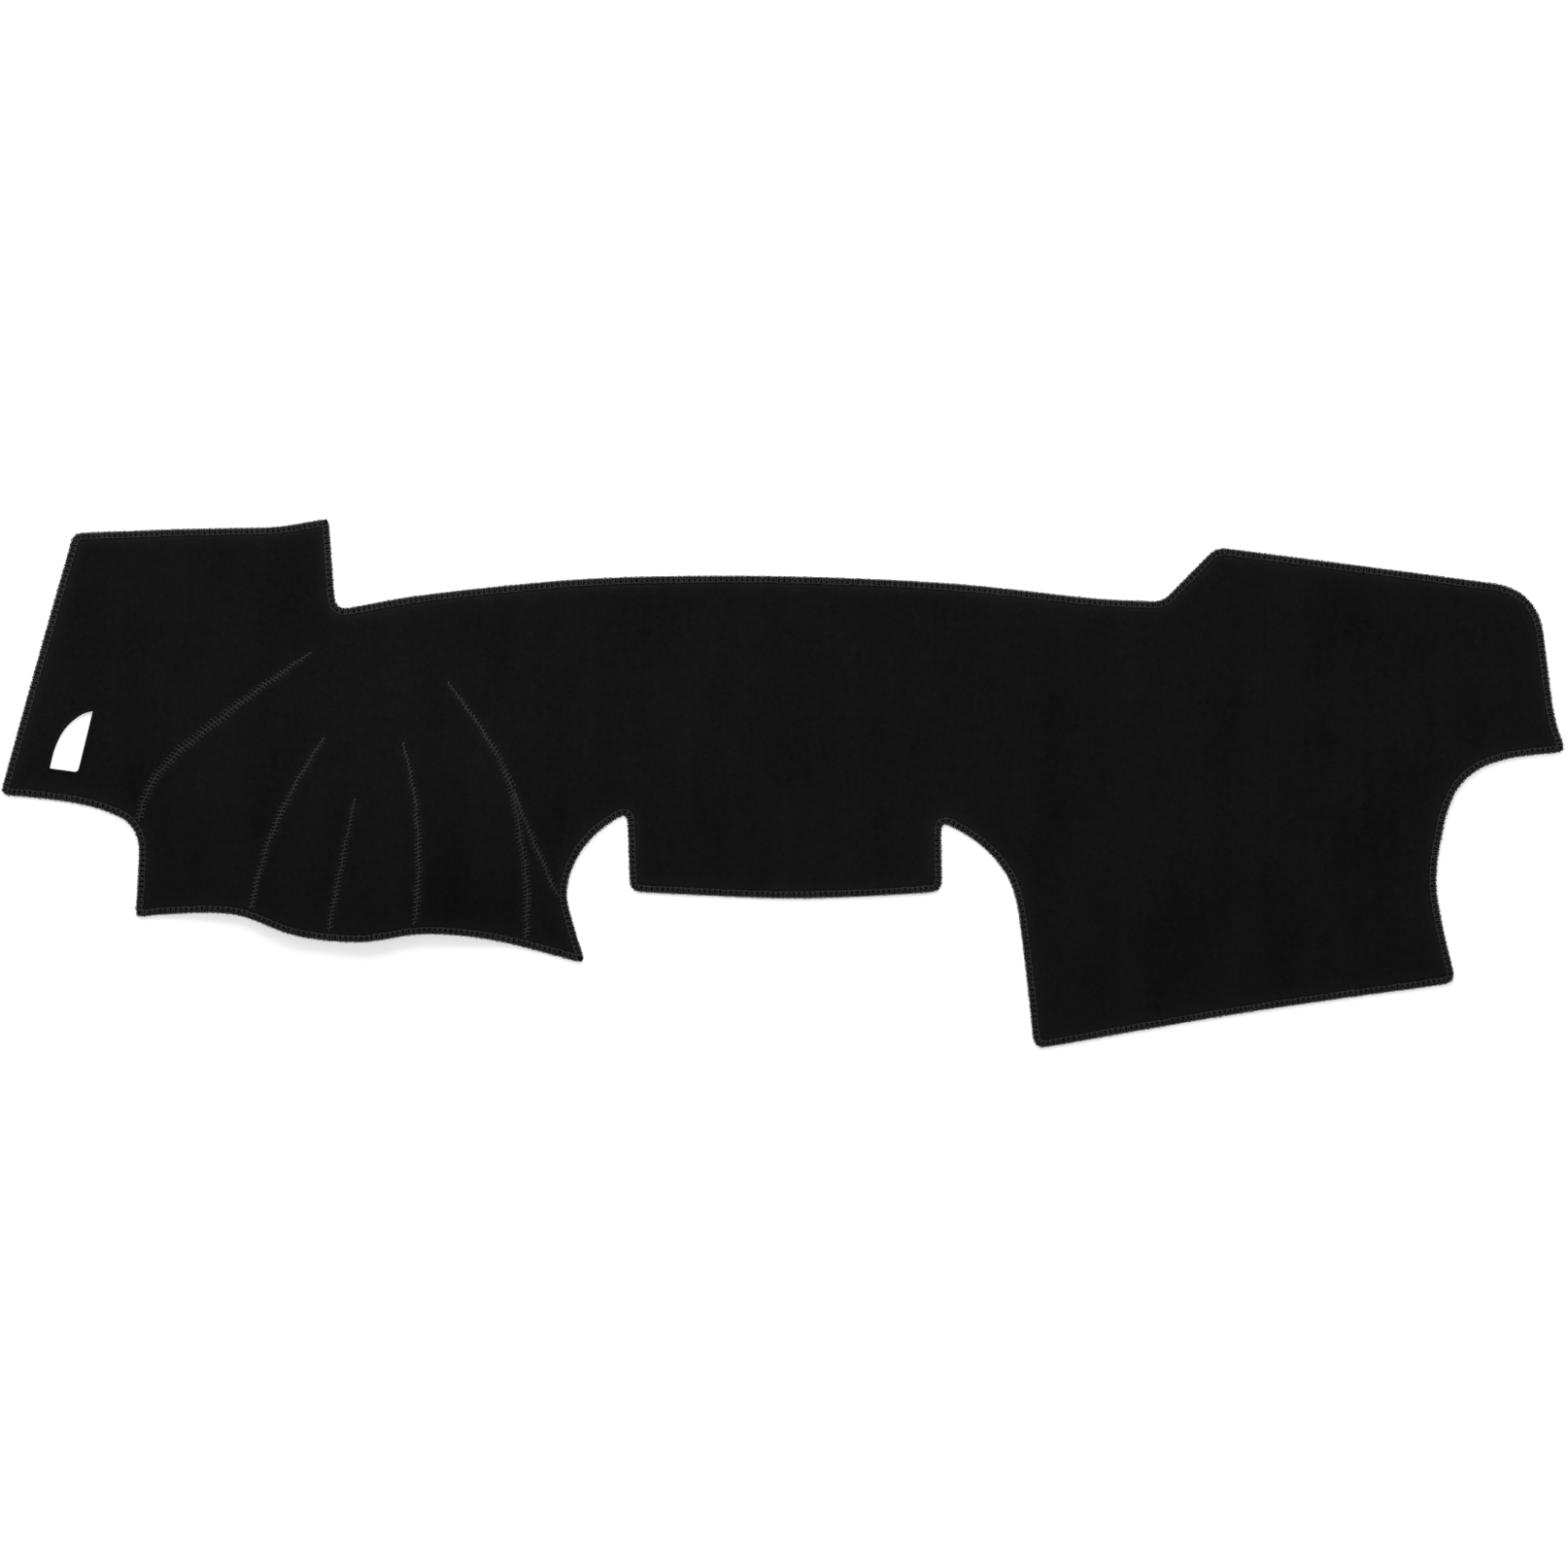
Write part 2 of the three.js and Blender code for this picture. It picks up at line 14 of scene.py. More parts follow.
import bmesh
import bpy
import numpy as np
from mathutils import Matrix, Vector
from mathutils.geometry import delaunay_2d_cdt


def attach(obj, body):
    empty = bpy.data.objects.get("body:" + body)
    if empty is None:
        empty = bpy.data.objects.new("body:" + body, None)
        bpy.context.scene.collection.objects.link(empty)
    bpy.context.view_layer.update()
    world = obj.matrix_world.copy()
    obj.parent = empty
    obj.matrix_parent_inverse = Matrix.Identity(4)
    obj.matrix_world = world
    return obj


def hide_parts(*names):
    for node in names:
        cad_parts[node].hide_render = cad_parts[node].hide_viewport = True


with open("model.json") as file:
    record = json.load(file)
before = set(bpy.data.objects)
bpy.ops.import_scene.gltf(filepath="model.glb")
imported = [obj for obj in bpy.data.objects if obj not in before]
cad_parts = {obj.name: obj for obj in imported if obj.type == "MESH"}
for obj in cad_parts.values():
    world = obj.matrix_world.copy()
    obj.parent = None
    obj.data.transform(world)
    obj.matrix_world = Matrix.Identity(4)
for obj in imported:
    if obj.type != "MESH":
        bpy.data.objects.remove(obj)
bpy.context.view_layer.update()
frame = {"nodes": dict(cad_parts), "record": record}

log = logging.getLogger("cover_mat")

MM = 0.001
BODY = "root"
SEED = 7
# Pairs of places and sides that one step of a search compares.
BLOCK = 60_000
# A length and an area that count as nothing, in metres and square metres.
NO_LENGTH = 1e-12
NO_AREA = 1e-18
# Wall corners are told apart to a millionth of a metre.
GRAINS = 1e6
# The normal of an upright wall rises or falls by no more than this.
UPRIGHT = 1e-3
# The triangulation gives what lies inside the border alone, and joins points closer than this, in metres.
INSIDE_ONLY = 1
JOIN = 1e-7

Setting = str | float | int | bool
SocketKey = str | int
Face = tuple[int, ...]


class Slot(Enum):
    """The record's material slots."""

    VELOUR = "velour"
    THREAD = "thread"


class Wire:
    """A node's output socket that can be used in plain arithmetic, which adds Math nodes."""

    def __init__(self, tree: "ShaderTree", socket: bpy.types.NodeSocket) -> None:
        """Wraps one output socket of a tree."""
        self.tree = tree
        self.socket = socket

    def _math(self, operation: str, left: "Wire | float", right: "Wire | float") -> "Wire":
        """Adds one Math node on two values."""
        return self.tree.node("ShaderNodeMath", {"operation": operation}, {0: left, 1: right})

    def __add__(self, other: "Wire | float") -> "Wire":
        """This value plus another."""
        return self._math("ADD", self, other)

    def __radd__(self, other: float) -> "Wire":
        """A number plus this value."""
        return self._math("ADD", other, self)

    def __sub__(self, other: "Wire | float") -> "Wire":
        """This value minus another."""
        return self._math("SUBTRACT", self, other)

    def __rsub__(self, other: float) -> "Wire":
        """A number minus this value."""
        return self._math("SUBTRACT", other, self)

    def __mul__(self, other: "Wire | float") -> "Wire":
        """This value times another."""
        return self._math("MULTIPLY", self, other)

    def __rmul__(self, other: float) -> "Wire":
        """A number times this value."""
        return self._math("MULTIPLY", other, self)

    def sine(self) -> "Wire":
        """The sine of this value, taken in radians."""
        return self.tree.node("ShaderNodeMath", {"operation": "SINE"}, {0: self})

    def clipped(self) -> "Wire":
        """This value, kept between 0 and 1."""
        return self.tree.node("ShaderNodeClamp", {}, {0: self})


class ShaderTree:
    """The node tree of a material or world, built from typed nodes and arithmetic on their sockets."""

    def __init__(self, owner: bpy.types.Material | bpy.types.World) -> None:
        """Empties the tree of a new material or world.

        Args:
            owner: the material or world.
        """
        self.owner = owner
        owner.use_nodes = True
        self.tree = owner.node_tree
        self.tree.nodes.clear()

    def node(
        self,
        kind: str,
        settings: dict[str, Setting],
        sockets: dict[SocketKey, Wire | float | tuple],
        output: SocketKey = 0,
    ) -> Wire:
        """Adds one node.

        Args:
            kind: the node's type.
            settings: its properties, set first.
            sockets: values or wires for its inputs, by number, name or identifier.
            output: which of its outputs is returned.

        Returns:
            The wire of that output.
        """
        made = self.tree.nodes.new(kind)
        for key, value in settings.items():
            setattr(made, key, value)
        for key, value in sockets.items():
            socket = self._socket(made.inputs, key)
            if isinstance(value, Wire):
                self.tree.links.new(value.socket, socket)
            else:
                socket.default_value = value
        return Wire(self, self._socket(made.outputs, output))

    @staticmethod
    def _socket(sockets: bpy.types.bpy_prop_collection, key: SocketKey) -> bpy.types.NodeSocket:
        """Finds a socket by its number, identifier or name.

        Args:
            sockets: a node's inputs or outputs.
            key: the number, identifier or name.

        Returns:
            The socket.
        """
        if isinstance(key, int):
            return sockets[key]
        return next((s for s in sockets if s.identifier == key), None) or sockets[key]

    def noise(self, place: Wire, scale: float, detail: float, roughness: float) -> Wire:
        """A noise texture's value from 0 to 1.

        Args:
            place: the coordinates it is laid by.
            scale: cells in a metre.
            detail: octaves added to it.
            roughness: how strong each octave is beside the one before.

        Returns:
            The wire of its value.
        """
        sockets = {"Vector": place, "Scale": scale, "Detail": detail, "Roughness": roughness}
        return self.node("ShaderNodeTexNoise", {}, sockets)

    def stretched(self, place: Wire, scale: tuple[float, float, float]) -> Wire:
        """Coordinates scaled by a factor on each axis."""
        return self.node("ShaderNodeVectorMath", {"operation": "MULTIPLY"}, {0: place, 1: scale})

    def mixed(self, share: Wire, first: tuple | Wire, second: tuple | Wire) -> Wire:
        """A colour between two others, at a share from 0 to 1."""
        sockets = {"Factor_Float": share, "A_Color": first, "B_Color": second}
        return self.node("ShaderNodeMix", {"data_type": "RGBA"}, sockets, "Result_Color")

    def bumped(self, height: Wire, distance: float, strength: float) -> Wire:
        """A normal that follows a height.

        Args:
            height: the height from 0 to 1.
            distance: what a height of 1 stands for, in metres.
            strength: how much of it shows.

        Returns:
            The wire of the normal.
        """
        sockets = {"Height": height, "Distance": distance, "Strength": strength}
        return self.node("ShaderNodeBump", {}, sockets)

    def finished(self, shader: Wire) -> bpy.types.Material | bpy.types.World:
        """Links a shader to the output of the material or world, and returns that.

        Args:
            shader: the shader's wire.

        Returns:
            The material or world.
        """
        kind = "World" if isinstance(self.owner, bpy.types.World) else "Material"
        end = self.tree.nodes.new(f"ShaderNodeOutput{kind}")
        self.tree.links.new(shader.socket, end.inputs["Surface"])
        return self.owner


def grey(value: float) -> tuple[float, float, float, float]:
    """An opaque neutral colour of one linear value."""
    return (value, value, value, 1.0)


@dataclass(frozen=True)
class VelourFinish:
    """Black short-pile velour: nearly no gloss, a soft sheen at low angles and a faint nap."""

    dark: float = 0.0034
    light: float = 0.0086
    # The base colour of a painted sheen where the rim thread and the seams press the pile flat.
    brushed: float = 0.0145
    sheen: float = 0.045
    sheen_roughness: float = 0.45
    specular: float = 0.04
    streaks_per_metre: float = 26.0
    clouds_per_metre: float = 9.0
    specks_per_metre: float = 210.0
    tuft: float = 1.1 * MM
    tuft_depth: float = 0.5 * MM

    def material(self) -> bpy.types.Material:
        """Makes the cloth's material.

        Returns:
            The material, whose colour follows soft streaks of nap and fine tufts, with a painted sheen: a
            lighter colour where the seams and the rim thread press the pile flat.
        """
        tree = ShaderTree(bpy.data.materials.new("velour"))
        place = tree.node("ShaderNodeTexCoord", {}, {}, "Object")
        streaks = tree.noise(tree.stretched(place, (1.0, 0.12, 0.3)), self.streaks_per_metre, 3.0, 0.55)
        clouds = tree.noise(place, self.clouds_per_metre, 4.0, 0.6)
        specks = tree.noise(place, self.specks_per_metre, 4.0, 0.75)
        tufts = tree.noise(place, 1 / self.tuft, 2.0, 0.6)
        fibres = tree.noise(tree.stretched(place, (1.0, 0.45, 1.0)), 3.2 / self.tuft, 2.0, 0.65)
        nap = (0.8 * streaks + 0.8 * clouds + 1.5 * specks + 0.7 * tufts + 0.4 * fibres - 1.6).clipped()
        # Painted sheen: an attribute lightens the base colour wherever the rim thread and the seams press
        # the pile flat.
        brushed = tree.node("ShaderNodeAttribute", {"attribute_name": "brushed"}, {}, "Fac")
        base = tree.mixed(nap, grey(self.dark), grey(self.light))
        colour = tree.mixed(brushed * (0.55 + 0.5 * specks), base, grey(self.brushed))
        sockets = {
            "Base Color": colour,
            "Roughness": 0.88 + 0.12 * tufts,
            "Normal": tree.bumped(0.6 * tufts + 0.4 * fibres, self.tuft_depth, 0.75),
            "Specular IOR Level": self.specular,
            "Sheen Weight": self.sheen,
            "Sheen Roughness": self.sheen_roughness,
            "Sheen Tint": grey(0.8),
        }
        return tree.finished(tree.node("ShaderNodeBsdfPrincipled", {}, sockets))


@dataclass(frozen=True)
class ThreadFinish:
    """Black textured polyester thread: two twisted plies with loose filaments and a dull lustre."""

    dark: float = 0.009
    light: float = 0.038
    twist: float = 1.7 * MM
    ply_depth: float = 0.16 * MM
    filaments_per_metre: float = 2600.0
    wear_per_metre: float = 45.0
    sheen: float = 0.12
    specular: float = 0.22

    def material(self) -> bpy.types.Material:
        """Makes the thread's material.

        Returns:
            The material, whose twist follows the map that each thread's mesh carries along its length, in
            its bumps and in a painted shade, darker in the grooves between the plies and lighter on their
            crests.
        """
        tree = ShaderTree(bpy.data.materials.new("thread"))
        place = tree.node("ShaderNodeTexCoord", {}, {}, "Object")
        along = tree.node("ShaderNodeTexCoord", {}, {}, "UV")
        split = {"Vector": along}
        length = tree.node("ShaderNodeSeparateXYZ", {}, split, "X")
        turn = tree.node("ShaderNodeSeparateXYZ", {}, split, "Y")
        plies = (length * (math.tau / self.twist) + turn * (2 * math.tau)).sine() * 0.5 + 0.5
        filaments = tree.noise(place, self.filaments_per_metre, 2.0, 0.6)
        wear = tree.noise(place, self.wear_per_metre, 3.0, 0.7)
        # Painted shade and highlight: the colour is darker in the grooves between the plies and lighter on
        # their crests, over random wear and filament tone.
        ply_shade_and_wear = (0.4 * plies + 0.35 * filaments + 1.3 * wear - 0.55).clipped()
        colour = tree.mixed(ply_shade_and_wear, grey(self.dark), grey(self.light))
        sockets = {
            "Base Color": colour,
            "Roughness": 0.5 + 0.25 * filaments,
            "Normal": tree.bumped(0.7 * plies + 0.3 * filaments, self.ply_depth, 0.8),
            "Specular IOR Level": self.specular,
            "Sheen Weight": self.sheen,
            "Sheen Roughness": 0.5,
        }
        return tree.finished(tree.node("ShaderNodeBsdfPrincipled", {}, sockets))


@dataclass(frozen=True)
class FloorFinish:
    """A plain white floor, which the camera sees as white and which keeps the mat's shadow."""

    colour: float = 0.82
    lift: float = 0.5

    def material(self) -> bpy.types.Material:
        """Makes the floor's material: a matt white, lifted a little for the camera's own rays.

        Returns:
            The material.
        """
        tree = ShaderTree(bpy.data.materials.new("white_floor"))
        seen = tree.node("ShaderNodeLightPath", {}, {}, "Is Camera Ray")
        glossy = tree.node("ShaderNodeLightPath", {}, {}, "Is Glossy Ray")
        through = tree.node("ShaderNodeLightPath", {}, {}, "Is Transmission Ray")
        direct = (seen + glossy + through).clipped()
        sockets = {
            "Base Color": grey(self.colour),
            "Roughness": 0.9,
            "Specular IOR Level": 0.1,
            "Emission Color": tree.mixed(direct, grey(0.0), grey(1.0)),
            "Emission Strength": self.lift,
        }
        return tree.finished(tree.node("ShaderNodeBsdfPrincipled", {}, sockets))


def unit(vectors: np.ndarray) -> np.ndarray:
    """Vectors scaled to a length of 1, where they have one."""
    return vectors / np.maximum(np.linalg.norm(vectors, axis=-1, keepdims=True), NO_LENGTH)


def crossed(first: np.ndarray, second: np.ndarray) -> np.ndarray:
    """The cross products of vectors on the plan."""
    return first[:, 0] * second[:, 1] - first[:, 1] * second[:, 0]


def headings(line: np.ndarray, closed: bool) -> np.ndarray:
    """The direction in which a line runs at each of its points, whether it is a closed loop or open.

    Args:
        line: the line's points.
        closed: whether the last point joins the first.

    Returns:
        A direction of length 1 for each point.
    """
    if closed:
        return unit(np.roll(line, -1, axis=0) - np.roll(line, 1, axis=0))
    return unit(np.gradient(line, axis=0))


def leftward(heading: np.ndarray) -> np.ndarray:
    """The directions on the plan to the left of others."""
    return np.column_stack([-heading[:, 1], heading[:, 0]])


def rejoined(loop: np.ndarray) -> np.ndarray:
    """A closed loop's points with the first one again at the end."""
    return np.vstack([loop, loop[:1]])


def lengths_along(points: np.ndarray) -> np.ndarray:
    """The length along an open line of points up to each of them."""
    steps = np.linalg.norm(np.diff(points, axis=0), axis=1)
    return np.concatenate([[0.0], np.cumsum(steps)])


def points_at(points: np.ndarray, lengths: np.ndarray, wanted: np.ndarray) -> np.ndarray:
    """The points at given lengths along an open line of points."""
    return np.stack([np.interp(wanted, lengths, points[:, k]) for k in range(points.shape[1])], axis=1)


def cubic(
    t: np.ndarray, start: np.ndarray, end: np.ndarray, leave: np.ndarray, arrive: np.ndarray
) -> np.ndarray:
    """A cubic from one point to another.

    Args:
        t: where it is read, from 0 to 1, as a column.
        start: the first point.
        end: the last point.
        leave: the velocity at the first point.
        arrive: the velocity at the last point.

    Returns:
        The points.
    """
    weights = (2 * t**3 - 3 * t**2 + 1, 3 * t**2 - 2 * t**3, t**3 - 2 * t**2 + t, t**3 - t**2)
    return weights[0] * start + weights[1] * end + weights[2] * leave + weights[3] * arrive


def even_steps(count: int) -> np.ndarray:
    """Even steps from 0 on, below 1, as a column."""
    return np.linspace(0.0, 1.0, count, endpoint=False)[:, None]


def even_line(points: np.ndarray, spacing: float) -> np.ndarray:
    """An open line's points at an even spacing, with both its ends.

    Args:
        points: the line's points.
        spacing: about how far apart the new ones are.

    Returns:
        The new points.
    """
    lengths = lengths_along(points)
    count = max(2, round(lengths[-1] / spacing))
    return points_at(points, lengths, np.linspace(0.0, lengths[-1], count + 1))


def smooth_line(through: np.ndarray, spacing: float) -> np.ndarray:
    """A smooth open curve through points, given as evenly spaced points.

    Args:
        through: the points that the curve goes through.
        spacing: the spacing of what is given back.

    Returns:
        The curve's points.
    """
    p = np.vstack([2 * through[0] - through[1], through, 2 * through[-1] - through[-2]])
    fine = []
    for a, b, c, d in zip(p, p[1:], p[2:], p[3:]):
        before, here, after = (math.sqrt(np.linalg.norm(v)) for v in (b - a, c - b, d - c))
        leave = (b - a) / before - (c - a) / (before + here) + (c - b) / here
        arrive = (c - b) / here - (d - b) / (here + after) + (d - c) / after
        count = 2 + int(2 * np.linalg.norm(c - b) / spacing)
        fine.append(cubic(even_steps(count), b, c, leave * here, arrive * here))
    return even_line(np.vstack([*fine, through[-1:]]), spacing)


def nearest_on(line: np.ndarray, places: np.ndarray) -> tuple[np.ndarray, np.ndarray]:
    """The nearest place on an open line to each of many places.

    Args:
        line: the line's points.
        places: the places on the plan.

    Returns:
        The distance of each place, and the length along the line up to its nearest place.
    """
    starts, sides = line[:-1], np.diff(line, axis=0)
    square = np.maximum((sides**2).sum(1), NO_AREA)
    lengths = lengths_along(line)
    distance, along = np.empty(len(places)), np.empty(len(places))
    chunk = 1 + BLOCK // len(sides)
    for first in range(0, len(places), chunk):
        some = places[first : first + chunk]
        x, y = some[:, :1] - starts[:, 0], some[:, 1:] - starts[:, 1]
        share = np.clip((x * sides[:, 0] + y * sides[:, 1]) / square, 0.0, 1.0)
        x -= share * sides[:, 0]
        y -= share * sides[:, 1]
        gap = x * x + y * y
        best = gap.argmin(1)
        rows = np.arange(len(some))
        distance[first : first + chunk] = np.sqrt(gap[rows, best])
        along[first : first + chunk] = lengths[best] + share[rows, best] * np.sqrt(square[best])
    return distance, along


def inside(loop: np.ndarray, places: np.ndarray) -> np.ndarray:
    """Whether each of many places lies inside a closed loop of points.

    Args:
        loop: the loop's points, in order.
        places: the places on the plan.

    Returns:
        True for each one inside.
    """
    a, b = loop, np.roll(loop, -1, axis=0)
    slope = (b[:, 0] - a[:, 0]) / np.where(b[:, 1] == a[:, 1], 1.0, b[:, 1] - a[:, 1])
    found = np.zeros(len(places), bool)
    chunk = 1 + BLOCK // len(loop)
    for first in range(0, len(places), chunk):
        x, y = places[first : first + chunk, 0:1], places[first : first + chunk, 1:2]
        spans = (a[:, 1] > y) != (b[:, 1] > y)
        crossing = a[:, 0] + (y - a[:, 1]) * slope
        found[first : first + chunk] = (spans & (x < crossing)).sum(1) % 2 == 1
    return found


def wall_corners(node: bpy.types.Object) -> tuple[list[tuple[float, float]], dict[int, set[int]]]:
    """The corners, on the plan, of a node's upright walls.

    Args:
        node: a node of the frame.

    Returns:
        The places on the plan, and for each wall corner's number the numbers that a wall joins to it.
    """
    mesh = node.data
    mesh.calc_loop_triangles()
    plan: dict[tuple[int, int], int] = {}
    places: list[tuple[float, float]] = []
    joined: dict[int, set[int]] = {}
    keys = []
    for vertex in mesh.vertices:
        key = (round(vertex.co.x * GRAINS), round(vertex.co.y * GRAINS))
        if key not in plan:
            plan[key] = len(places)
            places.append((vertex.co.x, vertex.co.y))
        keys.append(plan[key])
    for triangle in mesh.loop_triangles:
        if abs(triangle.normal.z) > UPRIGHT:
            continue
        for i in range(3):
            a, b = keys[triangle.vertices[i]], keys[triangle.vertices[i - 1]]
            if a != b:
                joined.setdefault(a, set()).add(b)
                joined.setdefault(b, set()).add(a)
    return places, joined


def wall_loops(node: bpy.types.Object) -> list[np.ndarray]:
    """The closed loops, on the plan, of a node's upright walls.

    Args:
        node: a node of the frame.

    Returns:
        Each loop's points in order, counterclockwise.
    """
    places, joined = wall_corners(node)
    loops, seen = [], set()
    for start in joined:
        if start in seen:
            continue
        walk, here = [start], start
        seen.add(start)
        while ahead := [n for n in joined[here] if n not in seen]:
            here = ahead[0]
            seen.add(here)
            walk.append(here)
        loop = np.array([places[i] for i in walk])
        if len(walk) > 2 and start in joined[here]:
            area = crossed(loop, np.roll(loop, -1, axis=0)).sum()
            loops.append(loop if area > 0 else loop[::-1])
    return loops


def spread(loop: np.ndarray) -> float:
    """The area of the box round a loop, by which loops are told apart."""
    return float(np.ptp(loop, axis=0).prod())


@dataclass
class Outline:
    """The mat's cut outline: a closed line of evenly spaced points, with the cloth on the left hand."""

    corners: np.ndarray
    spacing: float = 1.2 * MM
    corner_slack: float = 0.05 * MM
    longest_knot: int = 60

    def __post_init__(self) -> None:
        """Draws a smooth closed curve through the frame's own corners, which run counterclockwise."""
        ahead = np.roll(self.corners, -1, axis=0)
        heading = headings(self.corners, closed=True)
        chord = np.linalg.norm(ahead - self.corners, axis=1)
        fine = [
            cubic(even_steps(2 + int(3 * size / self.spacing)), p, q, size * d, size * e)
            for p, q, d, e, size in zip(self.corners, ahead, heading, np.roll(heading, -1, axis=0), chord)
        ]
        self.points = even_line(np.vstack([*fine, self.corners[:1]]), self.spacing)[:-1]
        self.closed = rejoined(self.points)
        self.inward = leftward(headings(self.points, closed=True))

    def inset(self, distance: float, every: int = 1) -> np.ndarray:
        """The outline moved inwards, with its points still matching the outline's own.

        Args:
            distance: how far it is moved.
            every: 1 for all of its points, 2 for every second one.

        Returns:
            The moved points. Those that would pass the middle of a corner meet in that corner.
        """
        moved = self.points + distance * self.inward
        clear, _ = nearest_on(self.closed, moved)
        kept = np.flatnonzero(clear > distance - self.corner_slack)
        index = np.arange(len(moved))
        filled = [np.interp(index, kept, moved[kept, k], period=len(moved)) for k in (0, 1)]
        return self._untied(np.column_stack(filled)[::every])

    def _untied(self, loop: np.ndarray) -> np.ndarray:
        """A closed loop without the small knots that moving it inwards ties in its corners.

        Args:
            loop: the loop's points, which are changed.

        Returns:
            The loop, with each knot's points drawn together in its crossing.
        """
        for step in range(self.longest_knot, 1, -1):
            sides = np.roll(loop, -1, axis=0) - loop
            ahead, ahead_sides = np.roll(loop, -step, axis=0), np.roll(sides, -step, axis=0)
            gap = ahead - loop
            turn = crossed(sides, ahead_sides)
            turn = np.where(np.abs(turn) < NO_AREA, NO_AREA, turn)
            here, there = crossed(gap, ahead_sides) / turn, crossed(gap, sides) / turn
            for i in np.flatnonzero((here > 0) & (here < 1) & (there > 0) & (there < 1)):
                loop[(i + 1 + np.arange(step)) % len(loop)] = loop[i] + here[i] * sides[i]
        return loop


@dataclass(frozen=True)
class Dome:
    """The shallow dome over the instrument binnacle, with a soft crease along each dart."""

    middle: tuple[float, float] = (-390.75 * MM, -31 * MM)
    half_width: float = 230 * MM
    half_depth: float = 203 * MM
    height: float = 30 * MM
    crease_depth: float = 3.2 * MM
    crease_spread: float = 17 * MM
    crease_fade: float = 45 * MM
    crease_share: float = 0.45

    def rise(self, places: np.ndarray, seams: list[np.ndarray]) -> np.ndarray:
        """The cloth's height over each place.

        Args:
            places: places on the plan.
            seams: the dart seams, each from its tip on.

        Returns:
            The heights.
        """
        off = (places - np.array(self.middle)) / np.array([self.half_width, self.half_depth])
        out = np.clip((off**2).sum(1), 0.0, 1.0)
        dome = self.height * (1 - out) ** 2
        rise = dome.copy()
        over = np.flatnonzero(dome > 0)
        crease = np.zeros(len(over))
        for seam in seams:
            distance, along = nearest_on(seam, places[over])
            t = np.clip(along / self.crease_fade, 0.0, 1.0)
            deep = t * t * (3 - 2 * t) * np.exp(-0.5 * (distance / self.crease_spread) ** 2)
            crease = np.maximum(crease, deep)
        rise[over] -= np.minimum(self.crease_depth, self.crease_share * dome[over]) * crease
        return rise


@dataclass(frozen=True)
class Dart:
    """One sewn dart.

    Its seam runs through points from tip to foot, given in millimetres from the dome's middle.
    """

    number: int
    through: tuple[tuple[float, float], ...]
    widest: float = 5.6 * MM
    branches: bool = False


DARTS = (
    Dart(1, ((-47, 152), (-94, 119), (-140, 84), (-180, 50), (-199, 23), (-209, -11)), 8.6 * MM),
    Dart(2, ((-34, 73), (-61, 29), (-84, -20), (-98, -66), (-109, -114))),
    Dart(3, ((-5, 16), (-13, -20), (-22, -64), (-36, -134))),
    Dart(4, ((39, 68), (47, 34), (52, -2), (53, -58), (46, -134))),
    Dart(5, ((80, 124), (109, 84), (130, 49), (141, 18), (148, -25), (153, -61), (151, -144)), 7.0 * MM),
    Dart(6, ((140, 27), (154, -10), (168, -43), (181, -72), (201, -109)), 4.8 * MM, True),
)


